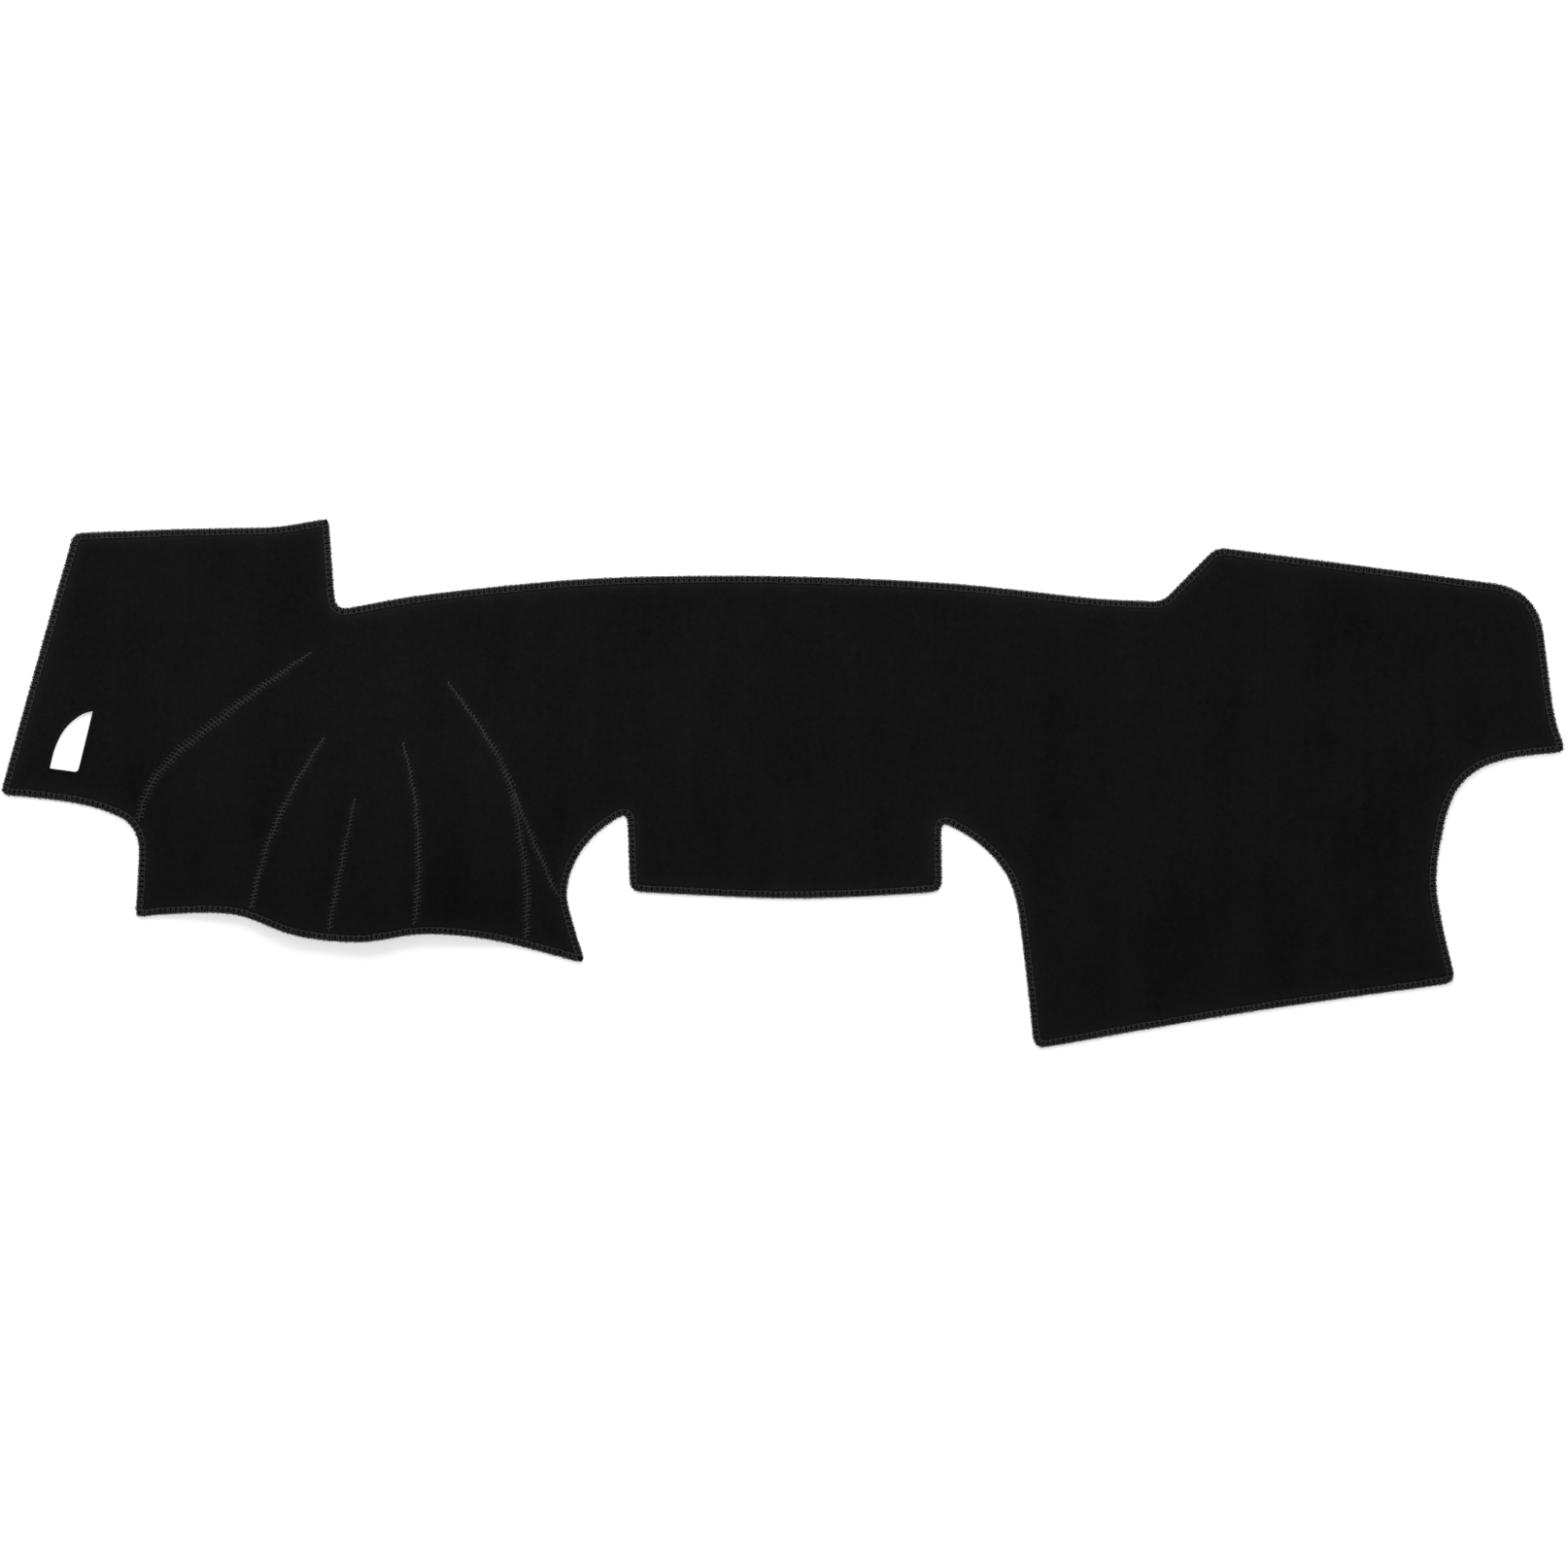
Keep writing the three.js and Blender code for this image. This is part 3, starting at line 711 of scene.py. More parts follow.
@dataclass
class MatShape:
    """The form that cloth and threads share: the outline, the dart seams and the cloth's height."""

    dome: Dome
    darts: tuple[Dart, ...]
    rim_width: float = 7.7 * MM
    thickness: float = 3.0 * MM
    ripple: float = 1.3 * MM
    ripple_waves: tuple[tuple[float, float, float], ...] = ((20.3, 10.2, 1.3), (-7.0, 23.3, 0.4))
    seam_spacing: float = 2.0 * MM
    seam_overlap: float = 0.6 * MM
    seam_depth: float = 1.3 * MM
    seam_spread: float = 1.5 * MM
    seam_fade: float = 6 * MM
    seam_tip_share: float = 0.15
    seam_wobble: float = 0.45 * MM
    wobble_fade: float = 20 * MM
    wobble_turns: tuple[float, float] = (190.0, 430.0)
    cut_growth: tuple[float, float] = (1.085, 1.06)
    cut_shift: tuple[float, float] = (1.0 * MM, 0.0)

    def __post_init__(self) -> None:
        """Takes the outline and the cut-out from the frame and lays the seams on the plan."""
        self.outline = Outline(max(wall_loops(frame["nodes"]["edge_overlock"]), key=spread))
        self.hole = self._cut_out()
        self.seams = [self._seam(dart) for dart in self.darts]

    def _cut_out(self) -> np.ndarray:
        """The cut-out's loop, a little wider than the cloth's small wall round the record's opening.

        Returns:
            The loop's points, counterclockwise.
        """
        openings = frame["record"]["physics"]["openings"]
        low, high = next(o["box_m"] for o in openings if o["name"] == "left_end_cutout")
        middle = np.array([[(low[0] + high[0]) / 2, (low[1] + high[1]) / 2]])
        loops = [loop for loop in wall_loops(frame["nodes"]["cloth_panel"]) if inside(loop, middle)[0]]
        loop = min(loops, key=spread)
        centre = 0.5 * (loop.min(0) + loop.max(0))
        return centre + (loop - centre) * np.array(self.cut_growth) + np.array(self.cut_shift)

    def _seam(self, dart: Dart) -> np.ndarray:
        """A dart's seam on the plan, from its tip to the rim's thread.

        Args:
            dart: the dart.

        Returns:
            The seam's points.
        """
        through = np.array(dart.through) * MM + np.array(self.dome.middle)
        line = smooth_line(through, self.seam_spacing)
        along = lengths_along(line)
        slow, quick = self.wobble_turns
        wobble = np.sin(along * slow + dart.number) + 0.7 * np.sin(along * quick + 2.0 * dart.number)
        wobble *= self.seam_wobble * np.clip(along / self.wobble_fade, 0.0, 1.0)
        line = line + wobble[:, None] * leftward(headings(line, closed=False))
        clear, _ = nearest_on(self.outline.closed, line)
        within = inside(self.outline.points, line) & (clear > self.rim_width - self.seam_overlap)
        return line[: len(line) if within.all() else int(np.argmin(within))]

    def rise(self, places: np.ndarray) -> np.ndarray:
        """The height of the cloth's underside over each place, with the slack of cloth that lies loose.

        Args:
            places: places on the plan.

        Returns:
            The heights.
        """
        waves = np.ones(len(places))
        for across, up, start in self.ripple_waves:
            waves *= 0.5 + 0.5 * np.sin(across * places[:, 0] + up * places[:, 1] + start)
        return self.dome.rise(places, self.seams) + self.ripple * waves

    def groove(self, places: np.ndarray) -> np.ndarray:
        """How far the cloth's face is drawn in by the dart seams at each place.

        Args:
            places: places on the plan.

        Returns:
            The depths.
        """
        deepest = np.zeros(len(places))
        for seam in self.seams:
            distance, along = nearest_on(seam, places)
            fade = np.clip(along / self.seam_fade, self.seam_tip_share, 1.0)
            deepest = np.maximum(deepest, fade * np.exp(-0.5 * (distance / self.seam_spread) ** 2))
        return self.seam_depth * deepest


class Patches:
    """Gathers the patches of one mesh, and joins them where their borders meet."""

    weld: float = 0.002 * MM

    def __init__(self) -> None:
        """Starts with no patch."""
        self.points: list[np.ndarray] = []
        self.faces: list[Face] = []
        self.count = 0

    def add(self, points: np.ndarray, faces: list[Face]) -> None:
        """Adds a patch.

        Args:
            points: its points.
            faces: its faces, by the numbers of their points in the patch.
        """
        self.points.append(points)
        self.faces += [tuple(i + self.count for i in face) for face in faces]
        self.count += len(points)

    def strip(self, rows: list[np.ndarray]) -> None:
        """Adds the skin between closed rows of points, each with the same count.

        Args:
            rows: the rows. The skin faces the side from which their points run to the right, and each
                row lies above the one before.
        """
        width = len(rows[0])
        faces = []
        for r in range(len(rows) - 1):
            for c in range(width):
                a, b = r * width + c, r * width + (c + 1) % width
                faces.append((a, b, b + width, a + width))
        self.add(np.vstack(rows), faces)

    def mesh(self, name: str) -> bpy.types.Mesh:
        """Makes the mesh, smooth, with shared points joined and flat faces without area left out.

        Args:
            name: the mesh's name.

        Returns:
            The mesh.
        """
        made = bpy.data.meshes.new(name)
        made.from_pydata(np.vstack(self.points).tolist(), [], self.faces)
        shape = bmesh.new()
        shape.from_mesh(made)
        bmesh.ops.remove_doubles(shape, verts=shape.verts, dist=self.weld)
        bmesh.ops.dissolve_degenerate(shape, edges=shape.edges, dist=0.5 * self.weld)
        bmesh.ops.triangulate(shape, faces=shape.faces)
        shape.to_mesh(made)
        shape.free()
        made.polygons.foreach_set("use_smooth", [True] * len(made.polygons))
        made.update()
        return made


def piece(name: str, mesh: bpy.types.Mesh, material: bpy.types.Material, slot: Slot) -> bpy.types.Object:
    """Makes an object of a finished mesh that rides on the mat's one body.

    Args:
        name: the piece's name.
        mesh: its mesh.
        material: its finish.
        slot: the record's slot that the finish belongs to; not used.

    Returns:
        The object.
    """
    made = bpy.data.objects.new(name, mesh)
    bpy.context.scene.collection.objects.link(made)
    mesh.materials.append(material)
    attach(made, BODY)
    log.info("%s: %d faces", name, len(mesh.polygons))
    return made


@dataclass
class ClothPanel:
    """The cut velour sheet, with its nipped rim, its dart grooves and its raw-edged cut-out."""

    shape: MatShape
    finish: bpy.types.Material
    grid: float = 3.7 * MM
    under_grid: float = 13.0 * MM
    seam_rows: tuple[float, ...] = (0.0, 0.9 * MM, 1.8 * MM, 3.0 * MM, 4.6 * MM)
    seam_step: float = 2.2 * MM
    seam_gap: float = 0.9 * MM
    cut_round: float = 0.35 * MM
    cut_step: float = 1.1 * MM
    cut_ring: float = 1.3 * MM
    # The strength, reach and fading of a painted sheen: lighter colour beside the rim thread and along the
    # seams.
    rim_sheen: float = 0.65
    rim_sheen_reach: float = 4.5 * MM
    seam_sheen: float = 0.5
    seam_sheen_reach: float = 3.2 * MM
    seam_sheen_fade: float = 8 * MM
    seam_sheen_tip: float = 0.3

    def rim_rows(self) -> list[tuple[float, float, float]]:
        """The rim's section, from its cut edge inwards: distance from the rim, top and bottom.

        Returns:
            The distance from the rim, the top and the bottom of each row.
        """
        rows = (
            (0.9, 2.05, 1.15),
            (1.3, 2.35, 0.9),
            (2.8, 2.5, 0.75),
            (5.2, 2.5, 0.7),
            (6.6, 2.15, 0.8),
            (7.7, 2.45, 0.5),
            (9.0, 2.95, 0.1),
            (11.0, 3.02, 0.0),
            (14.0, 3.0, 0.0),
        )
        return [(inset * MM, top * MM, bottom * MM) for inset, top, bottom in rows]

    def _placed(self, plan: np.ndarray, height: float | np.ndarray, face: bool) -> np.ndarray:
        """Points over places on the plan, at a height over the lifted underside.

        Args:
            plan: the places.
            height: their height over the underside, before any groove.
            face: whether they lie on the cloth's face, which the seams draw in.

        Returns:
            The points.
        """
        z = self.shape.rise(plan) + height
        if face:
            z = z - self.shape.groove(plan)
        return np.column_stack([plan, z])

    def _scattered(self, border: np.ndarray, hole: np.ndarray, spacing: float, rows: bool) -> np.ndarray:
        """Points between the border and the cut-out, in even triangles and in rows along the seams.

        Args:
            border: the innermost row of the rim.
            hole: the loop round the cut-out.
            spacing: the spacing of the points.
            rows: whether rows of points follow the seams.

        Returns:
            The points on the plan.
        """
        low, high = border.min(0), border.max(0)
        across = np.arange(low[0], high[0], spacing)
        up = np.arange(low[1], high[1], spacing * math.sqrt(0.75))
        x, y = np.meshgrid(across, up)
        x = x + 0.5 * spacing * (np.arange(len(up)) % 2)[:, None]
        field = np.column_stack([x.ravel(), y.ravel()])
        field = field[inside(border, field) & ~inside(hole, field)]
        for loop in (border, hole):
            field = field[nearest_on(rejoined(loop), field)[0] > 0.5 * spacing]
        if rows:
            for seam in self.shape.seams:
                field = field[nearest_on(seam, field)[0] > self.seam_rows[-1] + 0.4 * spacing]
            field = np.vstack([field, self._seam_points(border)])
        return field

    def _field(
        self, border: np.ndarray, hole: np.ndarray, spacing: float, rows: bool
    ) -> tuple[np.ndarray, list[Face]]:
        """The plan's triangles inside the border and outside the cut-out.

        Args:
            border: the innermost row of the rim.
            hole: the loop round the cut-out.
            spacing: the spacing of the points between them.
            rows: whether rows of points follow the seams.

        Returns:
            The points on the plan and the triangles.
        """
        field = self._scattered(border, hole, spacing, rows)
        size = len(border)
        edges = [(i, (i + 1) % size) for i in range(size)]
        edges += [(size + i, size + (i + 1) % len(hole)) for i in range(len(hole))]
        points = [Vector(p) for p in np.vstack([border, hole, field])]
        found, _, faces, *_ = delaunay_2d_cdt(points, edges, [], INSIDE_ONLY, JOIN)
        plan = np.array([tuple(v) for v in found])
        kept = ~inside(hole, plan[np.array(faces)].mean(1))
        return plan, [tuple(face) for face, keep in zip(faces, kept) if keep]

    def _seam_points(self, border: np.ndarray) -> np.ndarray:
        """Rows of points beside each seam, clear of the rim and of the other seams' rows.

        Args:
            border: the innermost row of the rim.

        Returns:
            The points on the plan.
        """
        rows: list[np.ndarray] = []
        for seam in self.shape.seams:
            line = even_line(seam, self.seam_step)
            side = leftward(headings(line, closed=False))
            offsets = sorted({s * row for row in self.seam_rows for s in (-1, 1)})
            points = np.vstack([line + offset * side for offset in offsets])
            points = points[inside(border, points)]
            if rows:
                near = np.vstack(rows)
                gap = np.linalg.norm(points[:, None] - near[None], axis=2).min(1)
                points = points[gap > self.seam_gap]
            rows.append(points)
        return np.vstack(rows)

    def _hole_rings(self) -> tuple[np.ndarray, np.ndarray]:
        """The cut-out's own loop and a loop a little outside it, in evenly spaced points."""
        edge = even_line(rejoined(self.shape.hole), self.cut_step)[:-1]
        return edge, edge - self.cut_ring * leftward(headings(edge, closed=True))

    def build(self) -> bpy.types.Object:
        """Makes the cloth.

        Returns:
            The piece, which stands for the frame's cloth.
        """
        patches = Patches()
        rows = self.rim_rows()
        plans = [self.shape.outline.inset(inset, 2) for inset, _, _ in rows]
        tops = [self._placed(plan, top, True) for plan, (_, top, _) in zip(plans, rows)]
        bottoms = [self._placed(plan, bottom, False) for plan, (_, _, bottom) in zip(plans, rows)]
        patches.strip([*bottoms[::-1], *tops])
        edge, ring = self._hole_rings()
        thick = self.shape.thickness
        # The cut's section, from the face over its rounded edge to the underside.
        levels = [
            self._placed(ring, thick, True),
            self._placed(edge + 0.25 * (ring - edge), thick - 0.02 * MM, False),
            self._placed(edge, thick - self.cut_round, False),
            self._placed(edge, 0.5 * thick, False),
            self._placed(edge, 0.1 * MM, False),
            self._placed(ring, 0.0, False),
        ]
        patches.strip([level[::-1] for level in levels])
        plan, faces = self._field(plans[-1], ring, self.grid, True)
        patches.add(self._placed(plan, thick, True), faces)
        plan, faces = self._field(plans[-1], ring, self.under_grid, False)
        patches.add(self._placed(plan, 0.0, False), [face[::-1] for face in faces])
        mesh = patches.mesh("cloth")
        # Painted sheen: lighter colour where the rim thread and the seams press the pile flat.
        self._paint_pile_sheen(mesh)
        made = piece("velour_cloth", mesh, self.finish, Slot.VELOUR)
        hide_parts("cloth_panel")
        return made

    def _paint_pile_sheen(self, mesh: bpy.types.Mesh) -> None:
        """Stores how strong a painted sheen is at each point: a lighter colour where the rim thread and the
        seams press the pile flat.

        Args:
            mesh: the cloth's mesh, which gets the attribute.
        """
        co = np.zeros(len(mesh.vertices) * 3)
        mesh.vertices.foreach_get("co", co)
        plan = co.reshape(-1, 3)[:, :2]
        rim, _ = nearest_on(self.shape.outline.closed[::3], plan)
        beyond = rim - self.shape.rim_width
        brushed = self.rim_sheen * np.exp(-np.maximum(beyond, 0.0) / self.rim_sheen_reach)
        brushed *= np.clip(1 + beyond / MM, 0.0, 1.0)
        for seam in self.shape.seams:
            distance, along = nearest_on(seam, plan)
            beside = np.exp(-0.5 * (distance / self.seam_sheen_reach) ** 2)
            beside *= np.clip(along / self.seam_sheen_fade, self.seam_sheen_tip, 1.0)
            brushed = np.maximum(brushed, self.seam_sheen * beside)
        attribute = mesh.attributes.new("brushed", "FLOAT", "POINT")
        attribute.data.foreach_set("value", brushed.astype(np.float32))


@dataclass(frozen=True)
class Yarn:
    """A round thread of one thickness, swept along a line of points."""

    diameter: float
    sides: int = 6

    def sweep(self, lines: list[np.ndarray], closed: bool, name: str) -> bpy.types.Mesh:
        """Makes the thread's mesh.

        Args:
            lines: the lines of points that it follows.
            closed: whether each line ends where it starts.
            name: the mesh's name.

        Returns:
            The mesh, with a map of the length along the thread and the turn round it.
        """
        points, faces, maps = [], [], []
        count = 0
        for line in lines:
            points.append(self._rings(line, closed).reshape(-1, 3))
            length = lengths_along(rejoined(line) if closed else line)
            rings = len(line)
            for i in range(rings if closed else rings - 1):
                here, ahead = count + i * self.sides, count + (i + 1) % rings * self.sides
                for s in range(self.sides):
                    t = (s + 1) % self.sides
                    faces.append((here + s, here + t, ahead + t, ahead + s))
                    u, v = (length[i], length[i + 1]), (s / self.sides, (s + 1) / self.sides)
                    maps += [(u[0], v[0]), (u[0], v[1]), (u[1], v[1]), (u[1], v[0])]
            if not closed:
                for end, turn in ((0, -1), (rings - 1, 1)):
                    first = count + end * self.sides
                    faces.append(tuple(range(first, first + self.sides))[::turn])
                    maps += [(length[end], 0.0)] * self.sides
            count += rings * self.sides
        mesh = bpy.data.meshes.new(name)
        mesh.from_pydata(np.vstack(points).tolist(), [], faces)
        layer = mesh.uv_layers.new(name="along_thread")
        layer.data.foreach_set("uv", np.array(maps, np.float32).ravel())
        mesh.polygons.foreach_set("use_smooth", [True] * len(mesh.polygons))
        mesh.update()
        return mesh

    def _rings(self, line: np.ndarray, closed: bool) -> np.ndarray:
        """The thread's rings of points, one round each point of the line, turned as little as can be.

        Args:
            line: the line's points.
            closed: whether the last point joins the first.

        Returns:
            The rings, each with one point for each side of the yarn.
        """
        tangent = headings(line, closed)
        normals = np.empty_like(line)
        normal = np.cross(tangent[0], (0.0, 0.0, 1.0))
        if np.linalg.norm(normal) < 0.1:
            normal = np.cross(tangent[0], (1.0, 0.0, 0.0))
        for i, t in enumerate(tangent):
            normal = normal - normal.dot(t) * t
            size = math.sqrt(normal.dot(normal))
            normal = normal / size if size > NO_LENGTH else normals[i - 1]
            normals[i] = normal
        other = np.cross(tangent, normals)
        if closed:
            slip = math.atan2(normals[-1].dot(other[0]), normals[-1].dot(normals[0]))
            turn = -slip * np.arange(len(line)) / len(line)
            cos, sin = np.cos(turn)[:, None], np.sin(turn)[:, None]
            normals, other = normals * cos + other * sin, other * cos - normals * sin
        angle = np.arange(self.sides) * math.tau / self.sides
        cos, sin = np.cos(angle)[None, :, None], np.sin(angle)[None, :, None]
        return line[:, None] + 0.5 * self.diameter * (cos * normals[:, None] + sin * other[:, None])


class LooperSide(Enum):
    """The two loopers' threads of the overlock: over the cloth and under it."""

    OVER = 1
    UNDER = -1


@dataclass
class RimOverlock:
    """The overlock stitch round the rim: a needle thread and two looper threads that meet on the edge."""

    shape: MatShape
    finish: bpy.types.Material
    pitch: float = 4.9 * MM
    needle_inset: float = 6.2 * MM
    over_face: float = 2.45 * MM
    under_face: float = 0.75 * MM
    looper: Yarn = Yarn(1.05 * MM)
    under_looper: Yarn = Yarn(0.7 * MM, 5)
    needle: Yarn = Yarn(0.9 * MM)
    looseness: tuple[float, float, float] = (0.045, 0.26 * MM, 0.06 * MM)

    def __post_init__(self) -> None:
        """Lays out the rim, the needle's line and the stitches between them."""
        outline = self.shape.outline
        self.line = rejoined(outline.inset(self.needle_inset))
        self.lengths = lengths_along(rejoined(outline.inset(0.5 * self.needle_inset)))
        self.stitches = round(self.lengths[-1] / self.pitch)

    def _places(self, steps: np.ndarray, insets: np.ndarray) -> np.ndarray:
        """Places on the plan.

        Args:
            steps: how far along the rim each one is, in stitches.
            insets: how far in from the rim each one is.

        Returns:
            The places.
        """
        lengths = (steps % self.stitches) / self.stitches * self.lengths[-1]
        rim = points_at(self.shape.outline.closed, self.lengths, lengths)
        line = points_at(self.line, self.lengths, lengths)
        return rim + (line - rim) * (insets / self.needle_inset)[:, None]

    def _thread(self, stitch: np.ndarray, points: int) -> np.ndarray:
        """A thread that repeats one stitch all round the rim.

        Args:
            stitch: one stitch's points: the step along the rim from 0 to 1, the inset and the height.
            points: how many points each stitch is drawn with, which also seeds its looseness.

        Returns:
            The thread's closed line of points.
        """
        rng = np.random.default_rng(SEED + points)
        repeated = np.vstack([stitch + np.array([k, 0.0, 0.0]) for k in range(self.stitches)])
        repeated = repeated + rng.normal(0.0, 1.0, repeated.shape) * np.array(self.looseness)
        fine = np.linspace(0.0, len(repeated), self.stitches * points, endpoint=False)
        drawn = self._spline(repeated, fine)
        plan = self._places(drawn[:, 0], drawn[:, 1])
        return np.column_stack([plan, self.shape.rise(plan) + drawn[:, 2]])

    def _spline(self, values: np.ndarray, wanted: np.ndarray) -> np.ndarray:
        """A closed smooth curve through a thread's points, read at the wanted places between them.

        Args:
            values: the thread's points, with the step along the rim in stitches.
            wanted: where the curve is read, as numbers of points with their fractions.

        Returns:
            The curve's points.
        """
        size = len(values)
        index = np.floor(wanted).astype(int)
        turn = np.array([self.stitches, 0.0, 0.0])
        parts = []
        for step in (-1, 0, 1, 2):
            at = index + step
            parts.append(values[at % size] + (at // size)[:, None] * turn)
        a, b, c, d = parts
        return cubic((wanted - index)[:, None], b, c, 0.5 * (c - a), 0.5 * (d - b))

    def _looper(self, side: LooperSide) -> np.ndarray:
        """One looper's thread: out from the needle's line to the edge, along it, and back.

        Args:
            side: the looper over the cloth or the one under it.

        Returns:
            The thread's closed line of points.
        """
        face = self.over_face if side is LooperSide.OVER else self.under_face
        up = side.value * MM
        middle = 0.5 * (self.over_face + self.under_face)
        shift = 0.0 if side is LooperSide.OVER else 0.5
        # Each point's step in stitches, its inset in millimetres, and its height.
        rows = (
            (0.02, 6.4, face + 0.1 * up),
            (0.13, 4.9, face + 0.5 * up),
            (0.24, 3.0, face + 0.6 * up),
            (0.33, 1.2, face + 0.42 * up),
            (0.40, 0.35, middle + 0.55 * up),
            (0.52, 0.18, middle - 0.1 * up),
            (0.64, 0.35, middle + 0.5 * up),
            (0.72, 1.3, face + 0.42 * up),
            (0.80, 3.0, face + 0.6 * up),
            (0.90, 4.9, face + 0.5 * up),
        )
        stitch = np.array([(step + shift, inset * MM, height) for step, inset, height in rows])
        return self._thread(stitch, 15 if side is LooperSide.OVER else 12)

    def _needle_line(self) -> np.ndarray:
        """The needle's thread: a short bar on the face from each hole to the next.

        Returns:
            The thread's closed line of points.
        """
        # Each point's step in stitches, its inset in millimetres, and its height.
        rows = (
            (0.0, 6.3, self.over_face - 0.6 * MM),
            (0.14, 6.1, self.over_face + 0.6 * MM),
            (0.5, 6.0, self.over_face + 0.9 * MM),
            (0.86, 6.1, self.over_face + 0.6 * MM),
        )
        stitch = np.array([(step, inset * MM, height) for step, inset, height in rows])
        return self._thread(stitch, 9)

    def build(self) -> list[bpy.types.Object]:
        """Makes the three threads.

        Returns:
            The pieces, which together stand for the frame's rim.
        """
        made = []
        lines = (
            ("rim_looper_over", self.looper, self._looper(LooperSide.OVER)),
            ("rim_looper_under", self.under_looper, self._looper(LooperSide.UNDER)),
            ("rim_needle_thread", self.needle, self._needle_line()),
        )
        for name, yarn, line in lines:
            thread = piece(name, yarn.sweep([line], True, name), self.finish, Slot.THREAD)
            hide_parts("edge_overlock")
            made.append(thread)
        return made


@dataclass
class DartThread:
    """The slanted stitches that close one dart, and a straight thread that lies in the seam with them."""

    shape: MatShape
    dart: Dart
    seam: np.ndarray
    finish: bpy.types.Material
    pitch: float = 3.9 * MM
    tip_width: float = 2.4 * MM
    widest_at: float = 0.45
    branch_start: float = 3.0 * MM
    loose_step: float = 0.06
    loose_reach: float = 0.25 * MM
    core_step: float = 0.9 * MM
    core_sway: float = 0.3 * MM
    core_lift: float = 0.45 * MM
    core_wave: float = 0.2 * MM
    yarn: Yarn = Yarn(1.0 * MM)

    def _width(self, share: float) -> float:
        """The stitches' width at a share of the seam's length: narrow at the tip, widest near its middle."""
        grown = min(max(share / self.widest_at, 0.0), 1.0)
        return self.tip_width + (self.dart.widest - self.tip_width) * grown * (1 - 0.25 * share**3)

    def _laid(self, lengths: np.ndarray, offsets: np.ndarray, heights: np.ndarray) -> np.ndarray:
        """Points beside the seam, over the cloth's face.

        Args:
            lengths: how far along the seam each one is.
            offsets: how far to the seam's left it is.
            heights: how far over the face it is.

        Returns:
            The points.
        """
        along = lengths_along(self.seam)
        base = points_at(self.seam, along, lengths)
        heading = unit(points_at(headings(self.seam, closed=False), along, lengths))
        plan = base + offsets[:, None] * leftward(heading)
        face = self.shape.rise(plan) + self.shape.thickness - self.shape.groove(plan)
        return np.column_stack([plan, face + heights])

    def _stitches(self, start: float, end: float) -> np.ndarray:
        """The slanted stitches' thread, which dives into the seam between each two.

        Args:
            start: the length along the seam at which they start.
            end: the length at which they end.

        Returns:
            The thread's line of points.
        """
        rng = np.random.default_rng(SEED + self.dart.number)
        # Each point's step in stitches, its share of half the width, and its height in millimetres.
        stitch = (
            (0.0, 1.0, -0.3),
            (0.1, 0.85, 0.4),
            (0.35, 0.0, 0.75),
            (0.6, -0.85, 0.4),
            (0.7, -1.0, -0.3),
            (0.85, 0.0, -0.9),
        )
        lengths, offsets, heights = [], [], []
        for k in range(int((end - start) / self.pitch)):
            at = start + (k + rng.normal(0.0, self.loose_step)) * self.pitch
            half = 0.5 * self._width(at / end) + rng.normal(0.0, self.loose_reach)
            for step, reach, height in stitch:
                lengths.append(at + step * self.pitch)
                offsets.append(reach * half)
                heights.append(height * MM)
        return self._rounded(self._laid(np.array(lengths), np.array(offsets), np.array(heights)))

    def build(self) -> bpy.types.Object:
        """Makes the dart's threads as one piece, which stands for the frame's bar.

        Returns:
            The piece.
        """
        total = lengths_along(self.seam)[-1]
        start = self.branch_start if self.dart.branches else 0.0
        middle = np.arange(start, total, self.core_step)
        wave = np.sin(middle * (math.tau / self.pitch))
        core = self._laid(middle, self.core_sway * wave, self.core_lift + self.core_wave * wave)
        name = f"dart_thread_{self.dart.number}"
        mesh = self.yarn.sweep([self._stitches(start, total), core], False, name)
        made = piece(name, mesh, self.finish, Slot.THREAD)
        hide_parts(f"dart_stitch_{self.dart.number}")
        return made

    @staticmethod
    def _rounded(line: np.ndarray) -> np.ndarray:
        """A line of points with one more point on a smooth curve between each two.

        Args:
            line: the line's points.

        Returns:
            The line's points with the new ones.
        """
        p = np.vstack([line[0], line, line[-1]])
        parts = [
            cubic(even_steps(2), b, c, 0.5 * (c - a), 0.5 * (d - b))
            for a, b, c, d in zip(p, p[1:], p[2:], p[3:])
        ]
        return np.vstack([*parts, line[-1:]])


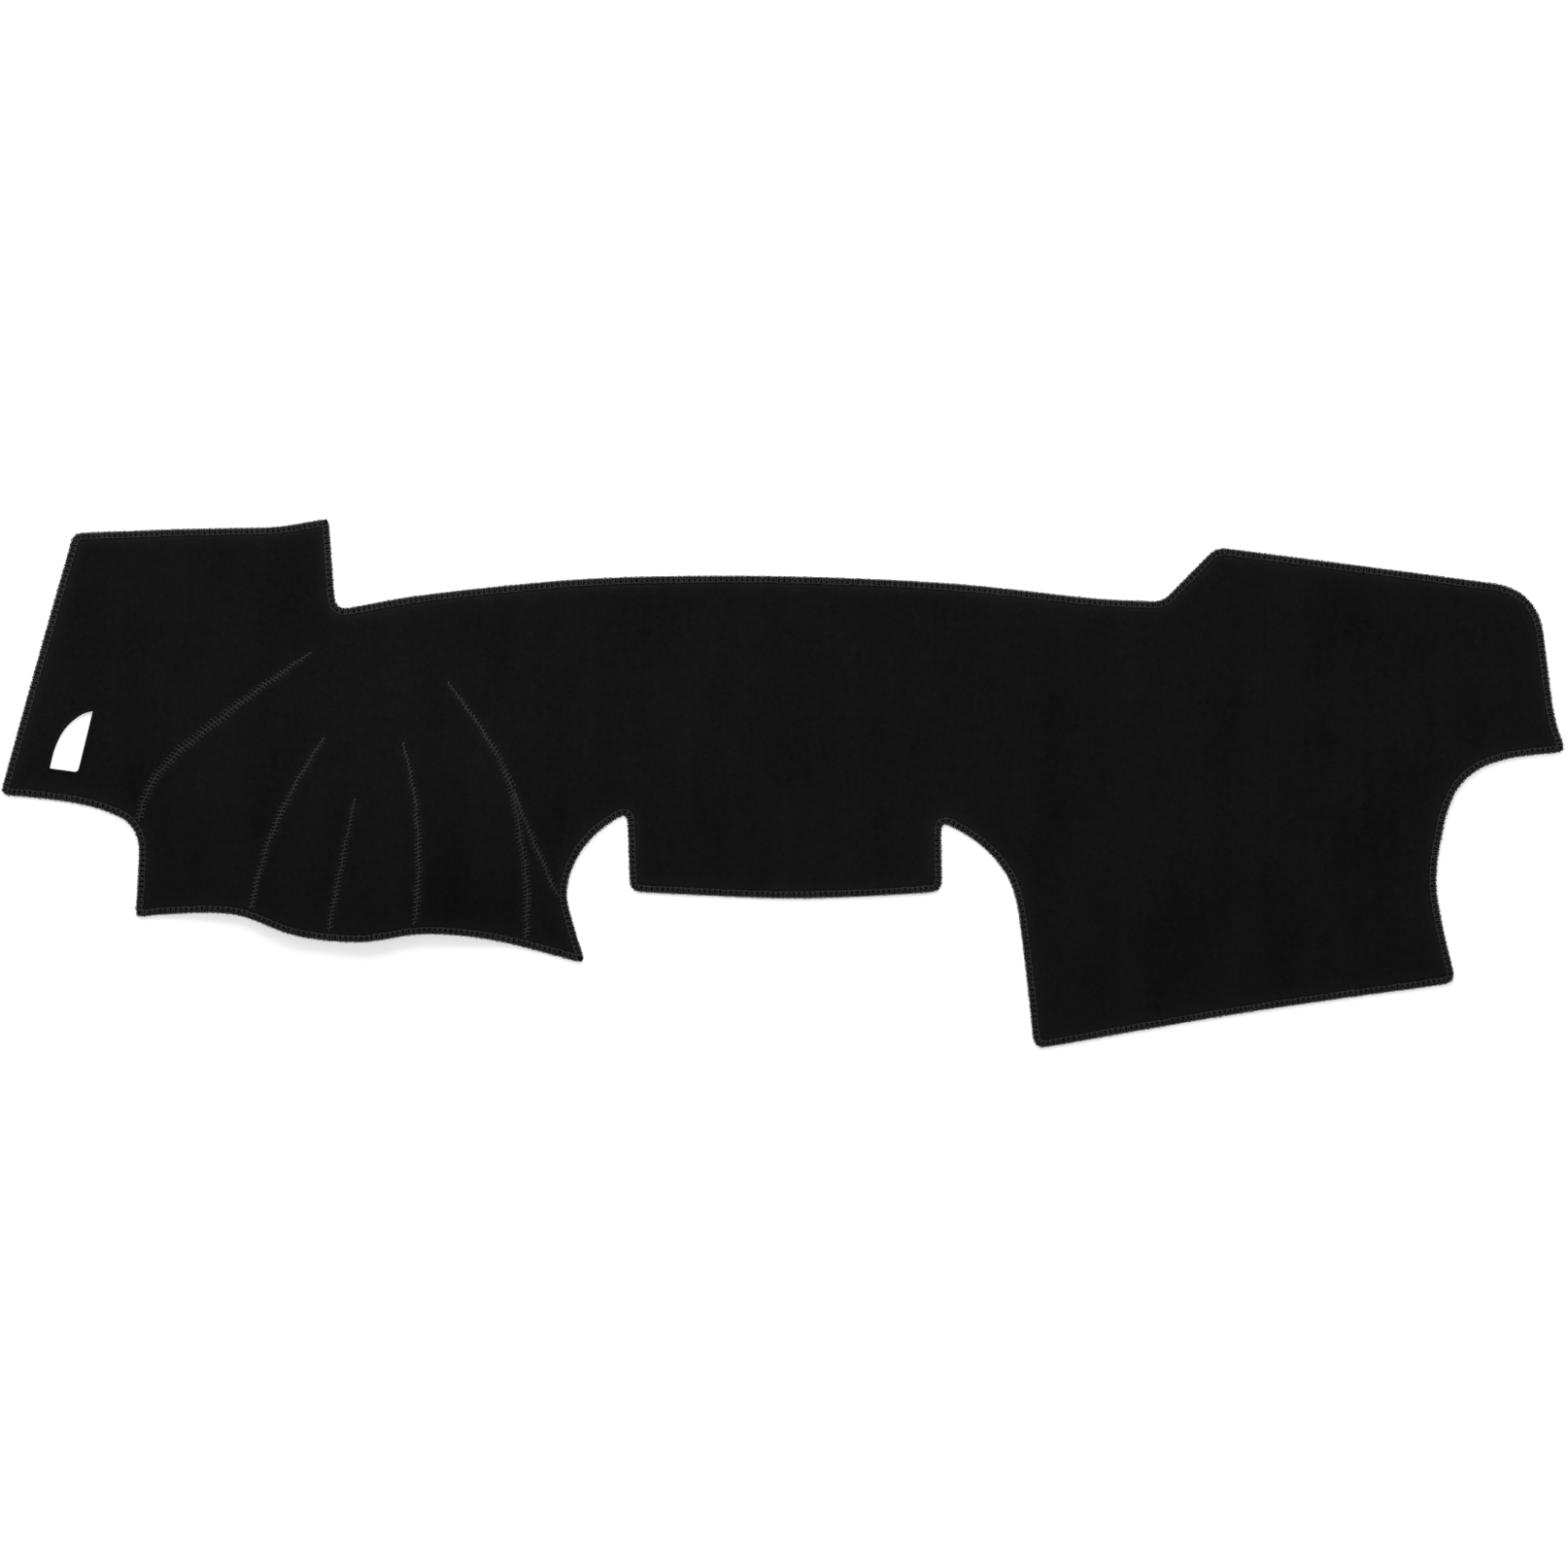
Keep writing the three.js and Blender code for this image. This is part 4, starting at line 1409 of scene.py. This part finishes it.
@dataclass(frozen=True)
class Studio:
    """A white floor, soft light from all round and a camera straight above the mat."""

    view_width: float = 1455.4 * MM
    view_middle: tuple[float, float] = (0.9 * MM, -1.0 * MM)
    lens: float = 200.0
    sensor: float = 36.0
    floor_size: float = 14.0
    floor_drop: float = 0.3 * MM
    world: float = 0.47
    key_power: float = 26.0
    key_size: tuple[float, float] = (2.4, 1.0)
    key_place: tuple[float, float, float] = (-0.2, 1.3, 1.15)

    def build(self) -> None:
        """Makes the floor, the lamp, the world and the camera."""
        self._floor()
        self._lamp()
        self._sky()
        self._camera()
        bpy.context.scene.view_settings.view_transform = "Standard"

    def _floor(self) -> None:
        """The floor, just under the mat."""
        half = 0.5 * self.floor_size
        mesh = bpy.data.meshes.new("floor")
        corners = [(-half, -half, 0.0), (half, -half, 0.0), (half, half, 0.0), (-half, half, 0.0)]
        mesh.from_pydata(corners, [], [(0, 1, 2, 3)])
        mesh.materials.append(FloorFinish().material())
        floor = bpy.data.objects.new("floor", mesh)
        floor.location.z = -self.floor_drop
        bpy.context.scene.collection.objects.link(floor)

    def _lamp(self) -> None:
        """One wide lamp from the windscreen's side."""
        lamp = bpy.data.lights.new("key", "AREA")
        lamp.shape = "RECTANGLE"
        lamp.size, lamp.size_y = self.key_size
        lamp.energy = self.key_power
        key = bpy.data.objects.new("key", lamp)
        key.location = self.key_place
        key.rotation_euler = (-Vector(self.key_place)).to_track_quat("-Z", "Y").to_euler()
        key.visible_camera = False
        bpy.context.scene.collection.objects.link(key)

    def _sky(self) -> None:
        """An even sky, which the camera sees as plain white."""
        tree = ShaderTree(bpy.data.worlds.new("sky"))
        seen = tree.node("ShaderNodeLightPath", {}, {}, "Is Camera Ray")
        lit, white = (
            tree.node("ShaderNodeBackground", {}, {"Color": grey(1.0), "Strength": strength})
            for strength in (self.world, 1.0)
        )
        mix = tree.node("ShaderNodeMixShader", {}, {0: seen, 1: lit, 2: white})
        bpy.context.scene.world = tree.finished(mix)

    def _camera(self) -> None:
        """A long lens straight above the mat, with the windscreen's side up."""
        data = bpy.data.cameras.new("camera")
        data.lens = self.lens
        data.sensor_width = self.sensor
        camera = bpy.data.objects.new("camera", data)
        distance = self.view_width * self.lens / self.sensor
        camera.location = (*self.view_middle, distance)
        data.clip_end = 4 * distance
        bpy.context.scene.collection.objects.link(camera)
        bpy.context.scene.camera = camera


def main() -> None:
    logging.basicConfig(level=logging.INFO, format="%(name)s: %(message)s")
    Studio().build()
    shape = MatShape(Dome(), DARTS)
    thread = ThreadFinish().material()
    cloth = ClothPanel(shape, VelourFinish().material()).build()
    threads = RimOverlock(shape, thread).build()
    for dart, seam in zip(shape.darts, shape.seams, strict=True):
        threads.append(DartThread(shape, dart, seam, thread).build())


if __name__ == "__main__":
    main()
